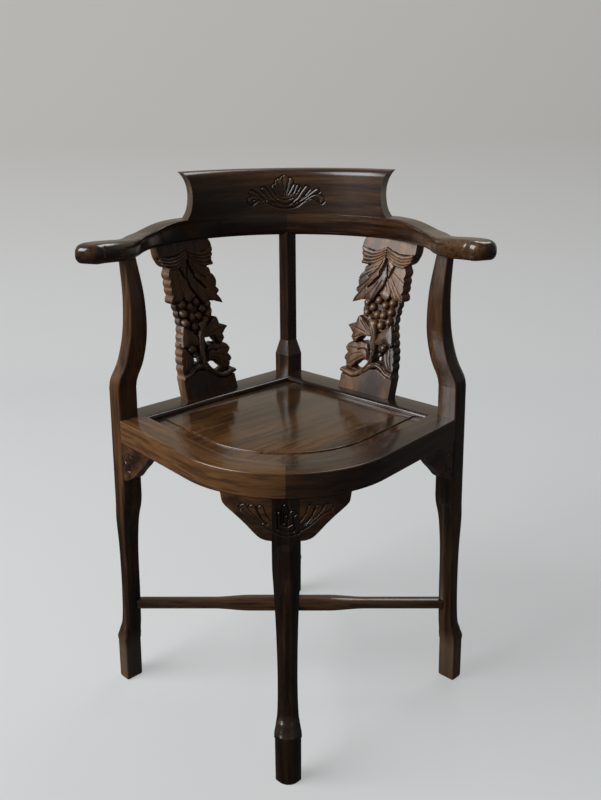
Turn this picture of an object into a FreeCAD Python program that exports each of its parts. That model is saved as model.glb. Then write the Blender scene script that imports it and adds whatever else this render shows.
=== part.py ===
import FreeCAD
import Part
import math
import os

from FreeCAD import Vector

# Corner chair in rosewood. Lengths are millimetres, +Z is up and -Y is the sitter's front.
# The chair is drawn about the middle of its square seat frame, then moved once at the end,
# so that the origin lies on the floor under the middle of its bounding box.

# Stance
seat_top = 450.0                # top of the seat frame above the floor
post_reach = 255.0              # seat middle to the middle of a side or back leg
post_side = 34.5                # side of the square legs where they pass the seat frame
front_leg_setback = 13.0        # middle of the front leg behind the face of the bow
side_splay = 10.5               # how far a side or back foot stands outside its leg's top
front_splay = 24.0              # the same for the front foot

# Leg shape below the seat
foot_side = 30.0
foot_height = 70.0
ankle_side = 24.3
ankle_height = 156.0
calf_side = 25.0
calf_height = 225.0
knee_height = 318.0             # above this the leg is a straight square block
front_foot_side = 28.0
front_ankle_side = 20.5
front_calf_side = 22.5
front_block_side = 29.0
ankle_share = 0.32              # share of the splay that is left at the ankle
outer_round_share = 0.42        # outer corner radius as a share of the leg's side
front_round_share = 0.70        # the same on the front leg, whose front is broad and round
inner_round_share = 0.08        # radius of the other three corners, as the same share

# Side posts above the seat
post_block_top = 498.0
post_waist_side = 31.0
post_waist_height = 585.0
post_inward = 23.5              # how far the waist of a side post stands inside its foot
post_top_side = 21.5
post_top_inward = 17.5
back_post_side = 22.0
back_post_block_top = 482.0
back_post_taper = 26.0

# Seat frame
rail_height = 35.0
back_rail_width = 50.0
front_rail_width = 44.0
bow_reach = 235.0               # seat middle to the front of the bow
bow_radius = 176.0

# Seat panel
panel_drop = 9.0                # panel border below the top of the frame
panel_thickness = 12.0
field_rise = 2.0
field_front_border = 50.0       # flat border between the raised field and the bow
field_side_border = 26.0        # the same along the straights of the front rails
tongue_depth = 8.0
tongue_thickness = 6.0
panel_play = 0.3
batten_width = 24.0
batten_height = 16.0
batten_spacing = 110.0
batten_length = 230.0
batten_shift = 10.0             # middle of the battens behind the seat middle

# Brackets
bracket_setback = 1.5           # bracket face behind the face of its rail
bracket_thickness = 18.0
bracket_drop = 61.0
side_bracket_length = 77.0
knee_half_width = 86.0
knee_start = 10.0               # where a knee bracket's profile starts beside the chair's middle

# Arms and crest
arm_underside = 698.0
arm_thickness = 26.0
arm_width = 36.0
arm_radius = 234.0              # middle line of the horseshoe
arm_centre_y = 26.0             # its centre, behind the seat middle
arm_back_height = 36.0          # thickness of the arms under the crest
club_radius = 24.0
club_x = 272.0
club_y = -72.0
flare_outer_angle = 178.0       # where the horseshoe's outer edge starts to swing to the club
flare_inner_angle = 189.0       # the same at its inner edge
arm_rise_start = 75.0           # between these places the arm top climbs to the crest
arm_rise_end = 168.0
arm_low_y = 25.0                # lowest place of the arm's top, above the post
club_rise = 6.0                 # the top climbs this much again towards the club
club_lift = 3.0                 # and the underside this much, from in front of the post
club_lift_start = -22.0
crest_height = 78.0
crest_thickness = 28.0
crest_half_width = 168.0
crest_waist = 13.0              # how deep the ends of the crest are hollowed
crest_foot_half_width = 167.5
crest_end_slant = 25.0          # degrees that the ends open towards the back

# Splats
splat_thickness = 22.0
splat_foot_inset = 18.0         # splat face behind the inner edge of the back rail
splat_lean = 70.5               # outward lean from the rail to the arm
splat_half_width = 60.0         # widest reach of the sawn outline from the rail's middle
splat_offset = -6.0             # tenon middle towards the side post
splat_foot_tenon_width = 80.0
splat_top_tenon_width = 72.0

# Stretchers
stretcher_level = 130.0
stretcher_end_width = 16.0
stretcher_end_height = 15.0
stretcher_mid_width = 22.0
stretcher_mid_height = 20.0
stretcher_swell = 62.0          # the full section runs this far from the crossing
stretcher_taper = 60.0
stretcher_overrun = 6.0         # bar before it is scribed to the leg, past the tenon's start
tenon_start_depth = 2.0         # a stretcher tenon starts this far inside the leg's corner

# Joints
tenon_thickness = 12.0
tenon_length = 10.0
tenon_shoulder = 5.0            # rail left above and below a tenon
leg_tenon_side = 16.0
leg_tenon_height = 26.0
round_tenon_radius = 7.0
arm_tenon_height = 14.0
stretcher_tenon_radius = 5.0
stretcher_tenon_length = 12.0
splat_tenon_height = 10.0
splat_tenon_thickness = 10.0
joint_play = 0.1
slip_thickness = 6.0            # loose tongues of the front mitre and the arm joint
slip_width = 20.0
mitre_slip_height = 24.0
mitre_slip_gap = 4.5            # wood between the front leg's tenon and the loose tongue
mitre_slip_cover = 4.0          # wood left under it
arm_slip_length = 30.0
arm_slip_gap = 6.0              # wood between the back post's tenon and the arm's loose tongue
dowel_radius = 4.0
dowel_length = 30.0
dowel_angles = (18.0, 36.0)     # from the chair's middle plane

# Sizes that follow
root_two = math.sqrt(2.0)
rail_bottom = seat_top - rail_height
front_leg_reach = bow_reach - front_leg_setback
post_half = post_side / 2.0
post_line = post_reach / root_two             # leg middle, measured square to a back rail
rail_outer = post_line + post_half
rail_inner = rail_outer - back_rail_width
bow_centre = Vector(0, bow_radius - bow_reach, 0)
panel_top = seat_top - panel_drop
arm_top = arm_underside + arm_thickness
crest_bottom = arm_underside + arm_back_height
crest_top = crest_bottom + crest_height
splat_height = arm_underside - seat_top
splat_slope = splat_lean / splat_height
side_leg_sides = (foot_side, ankle_side, calf_side, post_side)
front_leg_sides = (front_foot_side, front_ankle_side, front_calf_side, front_block_side)


def bow_angle():
    """Angle at which the straight of a front rail leaves the bow, from the side post's corner."""
    corner_x = post_reach
    corner_y = bow_centre.y + post_side / root_two
    distance = math.hypot(corner_x, corner_y)
    return math.asin(bow_radius / distance) - math.atan2(corner_y, corner_x)


straight_angle = bow_angle()
# Outward square to the left straight, and along it towards the bow
straight_out = Vector(-math.sin(straight_angle), -math.cos(straight_angle), 0)
straight_along = Vector(math.cos(straight_angle), -math.sin(straight_angle), 0)


def mirrored(shape):
    return shape.mirror(Vector(0, 0, 0), Vector(1, 0, 0))


def at_height(point, z):
    return Vector(point.x, point.y, z)


def prism(points, z_low, z_high):
    """Upright prism over a closed outline of corner points."""
    corners = [Vector(p[0], p[1], z_low) for p in points]
    wire = Part.makePolygon(corners + corners[:1])
    return Part.Face(wire).extrude(Vector(0, 0, z_high - z_low))


def box_between(low, high):
    size = [high[i] - low[i] for i in range(3)]
    return Part.makeBox(size[0], size[1], size[2], Vector(*low))


def smooth_edge(points):
    curve = Part.BSplineCurve()
    curve.interpolate(points)
    return curve.toShape()


def merged(base, *others):
    result = base
    for other in others:
        result = result.fuse(other)
    return result.removeSplitter()


# Legs are drawn for the left side: the outer corner points to -X.

def leg_section(z, reach, side, round_share):
    """Square turned by 45 degrees, its outer corner rounded more than the others."""
    half_diagonal = side / root_two
    radii = [side * round_share] + [side * inner_round_share] * 3
    edges = []
    ends = []
    for index in range(4):
        angle = math.pi + index * math.pi / 2
        tip = Vector(-reach + half_diagonal * math.cos(angle), half_diagonal * math.sin(angle), z)
        to_last = Vector(math.cos(angle - 3 * math.pi / 4), math.sin(angle - 3 * math.pi / 4), 0)
        to_next = Vector(math.cos(angle + 3 * math.pi / 4), math.sin(angle + 3 * math.pi / 4), 0)
        radius = radii[index]
        start = tip + to_last * radius
        end = tip + to_next * radius
        inward = Vector(-math.cos(angle), -math.sin(angle), 0)
        middle = tip + inward * (radius * (root_two - 1))
        edges.append(Part.Arc(start, middle, end).toShape())
        ends.append((start, end))
    closed = []
    for index in range(4):
        closed.append(edges[index])
        closed.append(Part.makeLine(ends[index][1], ends[(index + 1) % 4][0]))
    return Part.Wire(closed)


def leg_prism(z_low, z_high, reach, side, round_share=outer_round_share):
    face = Part.Face(leg_section(z_low, reach, side, round_share))
    return face.extrude(Vector(0, 0, z_high - z_low))


def leg_loft(stations, round_share=outer_round_share):
    sections = [leg_section(z, reach, side, round_share) for z, reach, side in stations]
    return Part.makeLoft(sections, True, False)


def between(low, high, share):
    return low + share * (high - low)


def lower_leg(reach, splay, sides, round_share):
    """Block foot, slim ankle and calf, and the square block up to the seat frame."""
    foot, ankle, calf, block = sides
    ankle_reach = reach + ankle_share * splay
    curve = leg_loft([
        (foot_height, reach + splay, foot),
        (between(foot_height, ankle_height, 0.16), reach + 0.75 * splay, between(ankle, foot, 0.65)),
        (between(foot_height, ankle_height, 0.40), reach + 0.42 * splay, between(ankle, foot, 0.15)),
        (ankle_height, ankle_reach, ankle),
        (calf_height, ankle_reach, calf),
        (between(calf_height, knee_height, 0.56), reach + 0.3 * splay, between(calf, block, 0.5)),
        (between(calf_height, knee_height, 0.85), reach + 0.06 * splay, between(calf, block, 0.88)),
        (knee_height, reach, block),
    ], round_share)
    return merged(
        leg_prism(0, foot_height, reach + splay, foot, round_share),
        curve,
        leg_prism(knee_height, rail_bottom, reach, block, round_share),
    )


def side_leg_body():
    """Left leg with its arm post, in one piece."""
    swing = post_waist_height - post_block_top
    post = leg_loft([
        (post_block_top, post_reach, post_side),
        (post_block_top + 0.16 * swing, post_reach - 0.12 * post_inward, post_side),
        (post_block_top + 0.5 * swing, post_reach - 0.62 * post_inward,
         between(post_waist_side, post_side, 0.6)),
        (post_waist_height, post_reach - 0.97 * post_inward, post_waist_side),
        (between(post_waist_height, arm_underside, 0.5), post_reach - post_inward,
         between(post_top_side, post_waist_side, 0.58)),
        (arm_underside, post_reach - post_top_inward, post_top_side),
    ])
    block = leg_prism(rail_bottom, post_block_top, post_reach, post_side)
    leg = lower_leg(post_reach, side_splay, side_leg_sides, outer_round_share)
    return merged(leg, block, post)


def side_post_tenon(radius):
    foot = Vector(post_top_inward - post_reach, 0, arm_underside)
    return Part.makeCylinder(radius, arm_tenon_height, foot)


def back_leg_body():
    """Back leg and post, drawn on the left and turned to the back."""
    taper_top = back_post_block_top + back_post_taper
    taper = leg_loft([
        (back_post_block_top, post_reach, post_side),
        (back_post_block_top + 0.4 * back_post_taper, post_reach,
         between(back_post_side, post_side, 0.65)),
        (taper_top, post_reach, back_post_side),
    ])
    block = leg_prism(rail_bottom, back_post_block_top, post_reach, post_side)
    post = leg_prism(taper_top, arm_underside, post_reach, back_post_side)
    lower = lower_leg(post_reach, side_splay, side_leg_sides, outer_round_share)
    leg = merged(lower, block, taper, post)
    leg.rotate(Vector(0, 0, 0), Vector(0, 0, 1), -90)
    return leg


def back_post_tenon(radius):
    return Part.makeCylinder(radius, arm_tenon_height, Vector(0, post_reach, arm_underside))


def front_leg_body():
    leg = lower_leg(front_leg_reach, front_splay, front_leg_sides, front_round_share)
    leg.rotate(Vector(0, 0, 0), Vector(0, 0, 1), 90)
    return leg


def front_leg_tenon(play):
    half = leg_tenon_side / 2 + play
    low = (-half, -front_leg_reach - half, rail_bottom)
    high = (half, -front_leg_reach + half, rail_bottom + leg_tenon_height + play)
    return box_between(low, high)


# Seat frame and panel

def bowed_loop(back_inset, centre_y, radius, z):
    """Outline in the shape of the seat: square at the back, two straights and a round bow."""
    back_line = (rail_inner - back_inset) * root_two
    out = straight_out
    centre = Vector(0, centre_y, z)
    # Meeting point of the back rail's line y = x + back_line and the straight of the front rail
    shift = radius + centre_y * out.y
    x = (shift - back_line * out.y) / (out.x + out.y)
    side = Vector(x, x + back_line, z)
    tangent = centre + out * radius
    front = Vector(0, centre_y - radius, z)
    back = Vector(0, back_line, z)
    right_side = Vector(-side.x, side.y, z)
    right_tangent = Vector(-tangent.x, tangent.y, z)
    return Part.Wire([
        Part.makeLine(back, side),
        Part.makeLine(side, tangent),
        Part.Arc(tangent, front, right_tangent).toShape(),
        Part.makeLine(right_tangent, right_side),
        Part.makeLine(right_side, back),
    ])


def seat_loop(inset, z):
    """Outline parallel to the inner edge of the frame, moved inward by the inset."""
    return bowed_loop(inset, bow_centre.y, bow_radius - front_rail_width - inset, z)


def seat_plate(inset, z_low, z_high):
    return Part.Face(seat_loop(inset, z_low)).extrude(Vector(0, 0, z_high - z_low))


def inner_corner():
    """Inner corner of the frame at the left post, where front and back rail meet."""
    return seat_loop(0.0, 0.0).Edges[0].Vertexes[1].Point


def tongue_levels():
    low = panel_top - panel_thickness + (panel_thickness - tongue_thickness) / 2
    return low, low + tongue_thickness


def panel_groove():
    low, high = tongue_levels()
    return seat_plate(-tongue_depth - panel_play, low, high)


def turned_to_rail(shape):
    """From a frame with X along the left back rail and Y outward to the chair's own."""
    shape.rotate(Vector(0, 0, 0), Vector(0, 0, 1), 45)
    return shape


def rail_tenon(along, face, play):
    """Stub tenon into a post. The rail runs along X or Y of its own frame."""
    half = tenon_thickness / 2 + play
    low_z = rail_bottom + tenon_shoulder - play
    high_z = seat_top - tenon_shoulder + play
    reach = tenon_length + play
    if along == "x":
        start, end = sorted((face, face + math.copysign(reach, face)))
        return box_between((start, post_line - half, low_z), (end, post_line + half, high_z))
    return box_between((-post_line - half, face, low_z), (-post_line + half, face + reach, high_z))


def back_rail_tenons(play):
    face = post_line - post_half
    pair = rail_tenon("x", face, play).fuse(rail_tenon("x", -face, play))
    return turned_to_rail(pair)


def front_rail_tenon(play):
    return turned_to_rail(rail_tenon("y", post_line - post_half, play))


def back_rail_body():
    post_face = post_line - post_half
    corner = inner_corner()
    corner_along = (corner.x + corner.y) / root_two
    outline = [
        (-post_face, rail_outer),
        (-post_face, post_face),
        (corner_along, rail_inner),
        (rail_inner, rail_inner),
        (post_face, post_face),
        (post_face, rail_outer),
    ]
    rail = turned_to_rail(prism(outline, rail_bottom, seat_top))
    return rail.cut(panel_groove())


def front_rail_body():
    near = Vector(-post_reach, -post_side / root_two, rail_bottom)
    right = Vector(-post_reach + post_side / root_two, 0, rail_bottom)
    corner = at_height(inner_corner(), rail_bottom)
    inner_radius = bow_radius - front_rail_width
    outer_tangent = at_height(bow_centre + straight_out * bow_radius, rail_bottom)
    inner_tangent = at_height(bow_centre + straight_out * inner_radius, rail_bottom)
    outer_front = Vector(0, -bow_reach, rail_bottom)
    inner_front = Vector(0, -bow_reach + front_rail_width, rail_bottom)
    half_turn = straight_angle / 2
    direction = Vector(-math.sin(half_turn), -math.cos(half_turn), 0)
    outer_middle = at_height(bow_centre + direction * bow_radius, rail_bottom)
    inner_middle = at_height(bow_centre + direction * inner_radius, rail_bottom)
    wire = Part.Wire([
        Part.makeLine(near, outer_tangent),
        Part.Arc(outer_tangent, outer_middle, outer_front).toShape(),
        Part.makeLine(outer_front, inner_front),
        Part.Arc(inner_front, inner_middle, inner_tangent).toShape(),
        Part.makeLine(inner_tangent, corner),
        Part.makeLine(corner, right),
        Part.makeLine(right, near),
    ])
    rail = Part.Face(wire).extrude(Vector(0, 0, rail_height))
    return rail.cut(panel_groove())


def mitre_tongue(play):
    """Loose tongue across the front mitre, between the leg's tenon and the panel's groove."""
    front_y = -front_leg_reach + leg_tenon_side / 2 + mitre_slip_gap
    low_z = rail_bottom + mitre_slip_cover
    return box_between(
        (-slip_width / 2 - play, front_y - play, low_z - play),
        (slip_width / 2 + play, front_y + slip_thickness + play, low_z + mitre_slip_height + play),
    )


def seat_panel_body():
    low, high = tongue_levels()
    plate = seat_plate(panel_play, panel_top - panel_thickness, panel_top)
    tongue = seat_plate(-tongue_depth, low, high)
    return merged(plate, tongue, panel_field())


def panel_field():
    """Raised field: square at the back corner, curved along the front border."""
    frame_radius = bow_radius - front_rail_width
    lean = math.cos(straight_angle)
    # The field's bow is the arc that leaves both borders at their own widths
    front_y = bow_centre.y - frame_radius + field_front_border
    side_distance = frame_radius - lean * bow_centre.y - field_side_border
    centre_y = (front_y + side_distance) / (1 - lean)
    outline = bowed_loop(panel_play, centre_y, centre_y - front_y, panel_top)
    return Part.Face(outline).extrude(Vector(0, 0, field_rise))


def panel_battens():
    high = panel_top - panel_thickness
    battens = []
    for side in (-1, 1):
        middle = side * batten_spacing / 2
        batten = box_between(
            (middle - batten_width / 2, batten_shift - batten_length / 2, high - batten_height),
            (middle + batten_width / 2, batten_shift + batten_length / 2, high),
        )
        battens.append(turned_to_rail(batten))
    return Part.Compound(battens)


# Brackets: sawn profiles from the leg's face to nothing at the far end, given as shares of
# the bracket's length and drop
side_profile = [(0.0, 1.0), (0.2, 0.965), (0.4, 0.80), (0.64, 0.49), (0.9, 0.17), (1.0, 0.0)]
knee_profile = [
    (0.0, 1.0), (0.20, 0.985), (0.32, 0.92), (0.44, 0.795), (0.57, 0.635), (0.71, 0.49),
    (0.86, 0.34), (0.965, 0.19), (1.0, 0.0),
]


def bracket_face(shares, place, length):
    """Face with its leg side at the place given by a function of distance and height."""
    points = [place(share * length, rail_bottom - drop * bracket_drop) for share, drop in shares]
    top = place(0.0, rail_bottom)
    edges = [smooth_edge(points), Part.makeLine(points[-1], top), Part.makeLine(top, points[0])]
    return Part.Face(Part.Wire(edges))


def side_bracket_body():
    near = Vector(-post_reach, -post_side / root_two, 0)
    start = near - straight_out * bracket_setback - straight_along * bracket_thickness

    def place(distance, z):
        return at_height(start + straight_along * (distance + bracket_thickness), z)

    profile = bracket_face(side_profile, place, side_bracket_length)
    blank = profile.extrude(straight_out * -bracket_thickness)
    # The foot end is squared to the leg, so a filler reaches back to the leg's face
    leg_corner = at_height(start, rail_bottom - bracket_drop)
    to_profile = straight_along * bracket_thickness
    to_rear = straight_out * -bracket_thickness
    filler_points = [
        leg_corner,
        leg_corner + to_profile,
        leg_corner + to_profile + to_rear,
        leg_corner + to_rear,
    ]
    filler = prism(filler_points, rail_bottom - bracket_drop, rail_bottom)
    leg = leg_prism(knee_height, rail_bottom, post_reach, post_side)
    bracket = merged(blank, filler).cut(leg)
    beyond_leg = turned_to_rail(box_between(
        (-2 * post_line, post_line - post_half, 0),
        (2 * post_line, 2 * post_line, seat_top),
    ))
    return bracket.cut(beyond_leg)


def knee_bracket_body():
    def place(distance, z):
        return Vector(-distance - knee_start, -2 * bow_reach, z)

    length = knee_half_width - knee_start
    blank = bracket_face(knee_profile, place, length).extrude(Vector(0, 2 * bow_reach, 0))
    outer = bow_radius - bracket_setback
    ring = Part.makeCylinder(outer, bracket_drop, at_height(bow_centre, rail_bottom - bracket_drop))
    core = Part.makeCylinder(outer - bracket_thickness, bracket_drop,
                             at_height(bow_centre, rail_bottom - bracket_drop))
    leg = leg_prism(knee_height, rail_bottom, front_leg_reach, front_block_side, front_round_share)
    leg.rotate(Vector(0, 0, 0), Vector(0, 0, 1), 90)
    return blank.common(ring.cut(core)).cut(leg)


# Splats: drawn upright in the back rail's frame, then sheared to their lean

def splat_point(across, up):
    """Point on the front face of the left splat, by shares of its half width and height."""
    rise = up * splat_height
    outward = rail_inner + splat_foot_inset + splat_slope * rise
    return Vector(across * splat_half_width, outward, seat_top + rise)


def scalloped(corners):
    """Sawn edge: each corner is followed by a shallow arc that swells by a share of its span."""
    edges = []
    for here, following in zip(corners, corners[1:]):
        start = splat_point(here[0], here[1])
        end = splat_point(following[0], following[1])
        bulge = here[2]
        if bulge == 0:
            edges.append(Part.makeLine(start, end))
            continue
        chord = end - start
        sideways = Vector(chord.z, 0, -chord.x) * bulge
        middle = (start + end) * 0.5 + sideways
        middle.y = splat_point(0, (middle.z - seat_top) / splat_height).y
        edges.append(Part.Arc(start, middle, end).toShape())
    return edges


# Corners of the splat's outline: share across, share up, and the bulge of the span that follows
side_edge = [
    (-1.02, 1, 0), (-1.02, 0.931, 0.05), (-0.97, 0.891, 0.15), (-0.73, 0.843, -0.05),
    (-0.82, 0.815, 0.1), (-0.80, 0.754, 0.1), (-0.85, 0.706, 0.1), (-0.82, 0.657, 0.05),
    (-0.88, 0.621, 0.1), (-0.70, 0.605, 0.2), (-0.70, 0.552, 0.2), (-0.68, 0.496, 0.2),
    (-0.68, 0.452, 0.08), (-0.82, 0.343, 0.1), (-0.93, 0.278, 0.08), (-0.97, 0.169, -0.1),
    (-1.02, 0.133, 0), (-1.02, 0, 0),
]
back_edge = [
    (0.78, 0, 0), (0.77, 0.089, -0.1), (0.82, 0.117, 0.15), (0.62, 0.145, 0.05),
    (0.76, 0.194, 0.12), (0.67, 0.234, 0.05), (0.78, 0.264, 0.1), (0.62, 0.31, 0.1),
    (0.63, 0.367, -0.06), (0.84, 0.411, 0.06), (0.57, 0.435, 0.06), (0.52, 0.484, 0.06),
    (0.40, 0.492, 0.2), (0.47, 0.548, 0.2), (0.40, 0.593, 0), (0.52, 0.593, -0.05),
    (0.86, 0.567, 0.05), (0.68, 0.633, 0), (0.79, 0.653, 0.1), (0.70, 0.681, 0.05),
    (0.76, 0.722, 0.12), (0.62, 0.778, 0.05), (0.61, 0.815, 0), (0.76, 0.831, 0.15),
    (0.72, 0.867, 0.1), (0.82, 0.915, 0.15), (0.78, 1, 0),
]
# Sawn openings between the stems: shares across and up, half width and height as shares of
# the half width, and turn in degrees
piercings = [
    (-0.25, 0.400, 0.075, 0.055, 0.0),
    (0.26, 0.340, 0.215, 0.085, 22.0),
    (-0.39, 0.242, 0.13, 0.19, 30.0),
    (0.22, 0.170, 0.25, 0.10, 24.0),
]


def splat_board():
    """Board inside the sawn outline, leaning outward."""
    left = scalloped(side_edge)
    right = scalloped(back_edge)
    foot = Part.makeLine(splat_point(*side_edge[-1][:2]), splat_point(*back_edge[0][:2]))
    top = Part.makeLine(splat_point(*back_edge[-1][:2]), splat_point(*side_edge[0][:2]))
    outline = Part.Wire(left + [foot] + right + [top])
    return Part.Face(outline).extrude(Vector(0, splat_thickness, 0))


def splat_piercing(across, up, half_wide, half_tall, turn):
    radius = half_tall * splat_half_width
    hole = Part.makeCylinder(radius, 4 * splat_thickness,
                             Vector(0, -2 * splat_thickness, 0), Vector(0, 1, 0))
    squash = FreeCAD.Matrix()
    squash.A11 = half_wide / half_tall
    hole = hole.transformGeometry(squash)
    hole.rotate(Vector(0, 0, 0), Vector(0, 1, 0), turn)
    hole.translate(splat_point(across, up))
    return hole


def splat_tenon(width, outward, z_low, z_high, play):
    half = splat_tenon_thickness / 2 + play
    middle = outward + splat_thickness / 2
    low = (splat_offset - width / 2 - play, middle - half, z_low)
    high = (splat_offset + width / 2 + play, middle + half, z_high)
    return turned_to_rail(box_between(low, high))


def splat_foot_tenon(play):
    outward = rail_inner + splat_foot_inset
    low = seat_top - splat_tenon_height - play
    return splat_tenon(splat_foot_tenon_width, outward, low, seat_top, play)


def splat_top_tenon(play):
    outward = rail_inner + splat_foot_inset + splat_lean
    high = arm_underside + splat_tenon_height + play
    return splat_tenon(splat_top_tenon_width, outward, arm_underside, high, play)


def splat_body():
    board = splat_board()
    for piercing in piercings:
        board = board.cut(splat_piercing(*piercing))
    return turned_to_rail(board)


# Arms and crest

def polar(radius, degrees, z):
    angle = math.radians(degrees)
    return Vector(radius * math.cos(angle), arm_centre_y + radius * math.sin(angle), z)


def arm_blank():
    """Left half of the horseshoe, from the back joint to its club end, full height."""
    z = arm_underside
    outer = arm_radius + arm_width / 2
    inner = arm_radius - arm_width / 2
    outer_end = flare_outer_angle
    inner_end = flare_inner_angle
    club_outer = Vector(-club_x - club_radius, club_y + club_radius / 6, z)
    club_inner = Vector(-club_x + club_radius * 0.92, club_y - club_radius * 0.35, z)
    club_tip = Vector(-club_x - club_radius * 0.3, club_y - club_radius * 0.95, z)
    outer_flare = Part.BSplineCurve()
    outer_flare.interpolate(
        [polar(outer, outer_end, z), club_outer],
        InitialTangent=Vector(0, -1, 0), FinalTangent=Vector(0, -1, 0),
    )
    inner_flare = Part.BSplineCurve()
    inner_flare.interpolate(
        [club_inner, polar(inner, inner_end, z)],
        InitialTangent=Vector(0.35, 1, 0), FinalTangent=Vector(-0.15, 1, 0),
    )
    wire = Part.Wire([
        Part.Arc(polar(outer, 90, z), polar(outer, 135, z), polar(outer, outer_end, z)).toShape(),
        outer_flare.toShape(),
        Part.Arc(club_outer, club_tip, club_inner).toShape(),
        inner_flare.toShape(),
        Part.Arc(polar(inner, inner_end, z), polar(inner, 135, z), polar(inner, 90, z)).toShape(),
        Part.makeLine(polar(inner, 90, z), polar(outer, 90, z)),
    ])
    return Part.Face(wire).extrude(Vector(0, 0, arm_back_height))


def above_arm():
    """What is sawn off the arm: it is thinner in front of the crest than under it."""
    far = 2 * post_reach
    middle = 0.5 * (arm_rise_start + arm_rise_end)
    rise = [
        Vector(-far, club_y, arm_top + club_rise),
        Vector(-far, 0.5 * (club_y + arm_low_y), arm_top + 0.5 * club_rise),
        Vector(-far, arm_low_y, arm_top),
        Vector(-far, arm_rise_start, arm_top),
        Vector(-far, middle, 0.5 * (arm_top + crest_bottom)),
        Vector(-far, arm_rise_end, crest_bottom),
    ]
    slope = Part.BSplineCurve()
    slope.interpolate(rise, InitialTangent=Vector(0, 1, 0), FinalTangent=Vector(0, 1, 0))
    above = crest_bottom + arm_thickness
    club_top = arm_top + club_rise
    wire = Part.Wire([
        Part.makeLine(Vector(-far, -far, club_top), rise[0]),
        slope.toShape(),
        Part.makeLine(rise[-1], Vector(-far, arm_rise_end, above)),
        Part.makeLine(Vector(-far, arm_rise_end, above), Vector(-far, -far, above)),
        Part.makeLine(Vector(-far, -far, above), Vector(-far, -far, club_top)),
    ])
    return Part.Face(wire).extrude(Vector(2 * far, 0, 0))


def below_club():
    """What is sawn off under the club, which lifts a little in front of the post."""
    far = 2 * post_reach
    start = Vector(-far, club_lift_start, arm_underside)
    end = Vector(-far, club_y, arm_underside + club_lift)
    slope = Part.BSplineCurve()
    slope.interpolate([start, end], InitialTangent=Vector(0, -1, 0), FinalTangent=Vector(0, -1, 0))
    beyond = Vector(-far, -far, arm_underside + club_lift)
    corner = Vector(-far, -far, arm_underside)
    wire = Part.Wire([
        slope.toShape(),
        Part.makeLine(end, beyond),
        Part.makeLine(beyond, corner),
        Part.makeLine(corner, start),
    ])
    return Part.Face(wire).extrude(Vector(2 * far, 0, 0))


def crest_end():
    """What is sawn off the left end of the crest: a hollow curve, opening towards the back."""
    far = 2 * post_reach
    narrow = crest_half_width - crest_waist
    inner = arm_radius - arm_width / 2
    corner_y = arm_centre_y + math.sqrt(inner ** 2 - narrow ** 2)
    slant = math.radians(crest_end_slant)
    along_end = Vector(-math.sin(slant), math.cos(slant), 0)
    top = Vector(-crest_half_width, corner_y, crest_top)
    waist = Vector(-narrow, corner_y, 0.5 * (crest_bottom + crest_top))
    foot = Vector(-crest_foot_half_width, corner_y, crest_bottom)
    far_foot = Vector(-far, corner_y, crest_bottom)
    far_top = Vector(-far, corner_y, crest_top)
    wire = Part.Wire([
        Part.Arc(top, waist, foot).toShape(),
        Part.makeLine(foot, far_foot),
        Part.makeLine(far_foot, far_top),
        Part.makeLine(far_top, top),
    ])
    wire.translate(along_end * -corner_y)
    return Part.Face(wire).extrude(along_end * (2 * corner_y))


def crest_body():
    """Block on the two arm halves, hollow at the front."""
    inner = arm_radius - arm_width / 2
    base = at_height(Vector(0, arm_centre_y, 0), crest_bottom)
    ring = Part.makeCylinder(inner + crest_thickness, crest_height, base)
    ring = ring.cut(Part.makeCylinder(inner, crest_height, base))
    back_half = box_between(
        (-2 * post_reach, arm_centre_y, crest_bottom),
        (2 * post_reach, 2 * post_reach, crest_top),
    )
    end = crest_end()
    return ring.common(back_half).cut(end).cut(mirrored(end))


def crest_dowels(play):
    """Dowels from each arm half up into the crest. The play goes round them only."""
    dowels = []
    radius = arm_radius - (arm_width - crest_thickness) / 2
    for side in (-1, 1):
        for angle in dowel_angles:
            foot = polar(radius, 90 + side * angle, crest_bottom - dowel_length / 2)
            dowels.append(Part.makeCylinder(dowel_radius + play, dowel_length, foot))
    return Part.Compound(dowels)


def arm_tongue(play):
    middle_y = arm_centre_y + arm_radius
    low_z = arm_underside + arm_tenon_height + arm_slip_gap
    return box_between(
        (-arm_slip_length / 2 - play, middle_y - slip_width / 2 - play, low_z),
        (arm_slip_length / 2 + play, middle_y + slip_width / 2 + play, low_z + slip_thickness),
    )


# Stretchers run along X when drawn

def stretcher_section(x, width, height):
    corners = [
        Vector(x, -width / 2, stretcher_level - height / 2),
        Vector(x, width / 2, stretcher_level - height / 2),
        Vector(x, width / 2, stretcher_level + height / 2),
        Vector(x, -width / 2, stretcher_level + height / 2),
    ]
    return Part.makePolygon(corners + corners[:1])


def stretcher_bar(left, right):
    """Bar from one leg to the other, fuller around the crossing."""
    slim = (stretcher_end_width, stretcher_end_height)
    full = (stretcher_mid_width, stretcher_mid_height)
    stations = [
        (-left, slim),
        (-stretcher_swell - stretcher_taper, slim),
        (-stretcher_swell, full),
        (stretcher_swell, full),
        (stretcher_swell + stretcher_taper, slim),
        (right, slim),
    ]
    return Part.makeLoft([stretcher_section(x, *size) for x, size in stations], True, True)


def stretcher_tenons(left, right, play):
    """Round stub tenons, from the leg's face on: the bar hides the rest of each."""
    level = Vector(0, 0, stretcher_level)
    radius = stretcher_tenon_radius + play
    one = Part.makeCylinder(radius, stretcher_tenon_length + play,
                            level - Vector(left, 0, 0), Vector(-1, 0, 0))
    other = Part.makeCylinder(radius, stretcher_tenon_length + play,
                              level + Vector(right, 0, 0), Vector(1, 0, 0))
    return one.fuse(other)


def lap_notch(upper, play):
    half = stretcher_mid_width / 2 + play
    low_z = stretcher_level if upper else stretcher_level - stretcher_mid_height
    return box_between((-half, -half, low_z), (half, half, low_z + stretcher_mid_height))


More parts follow.
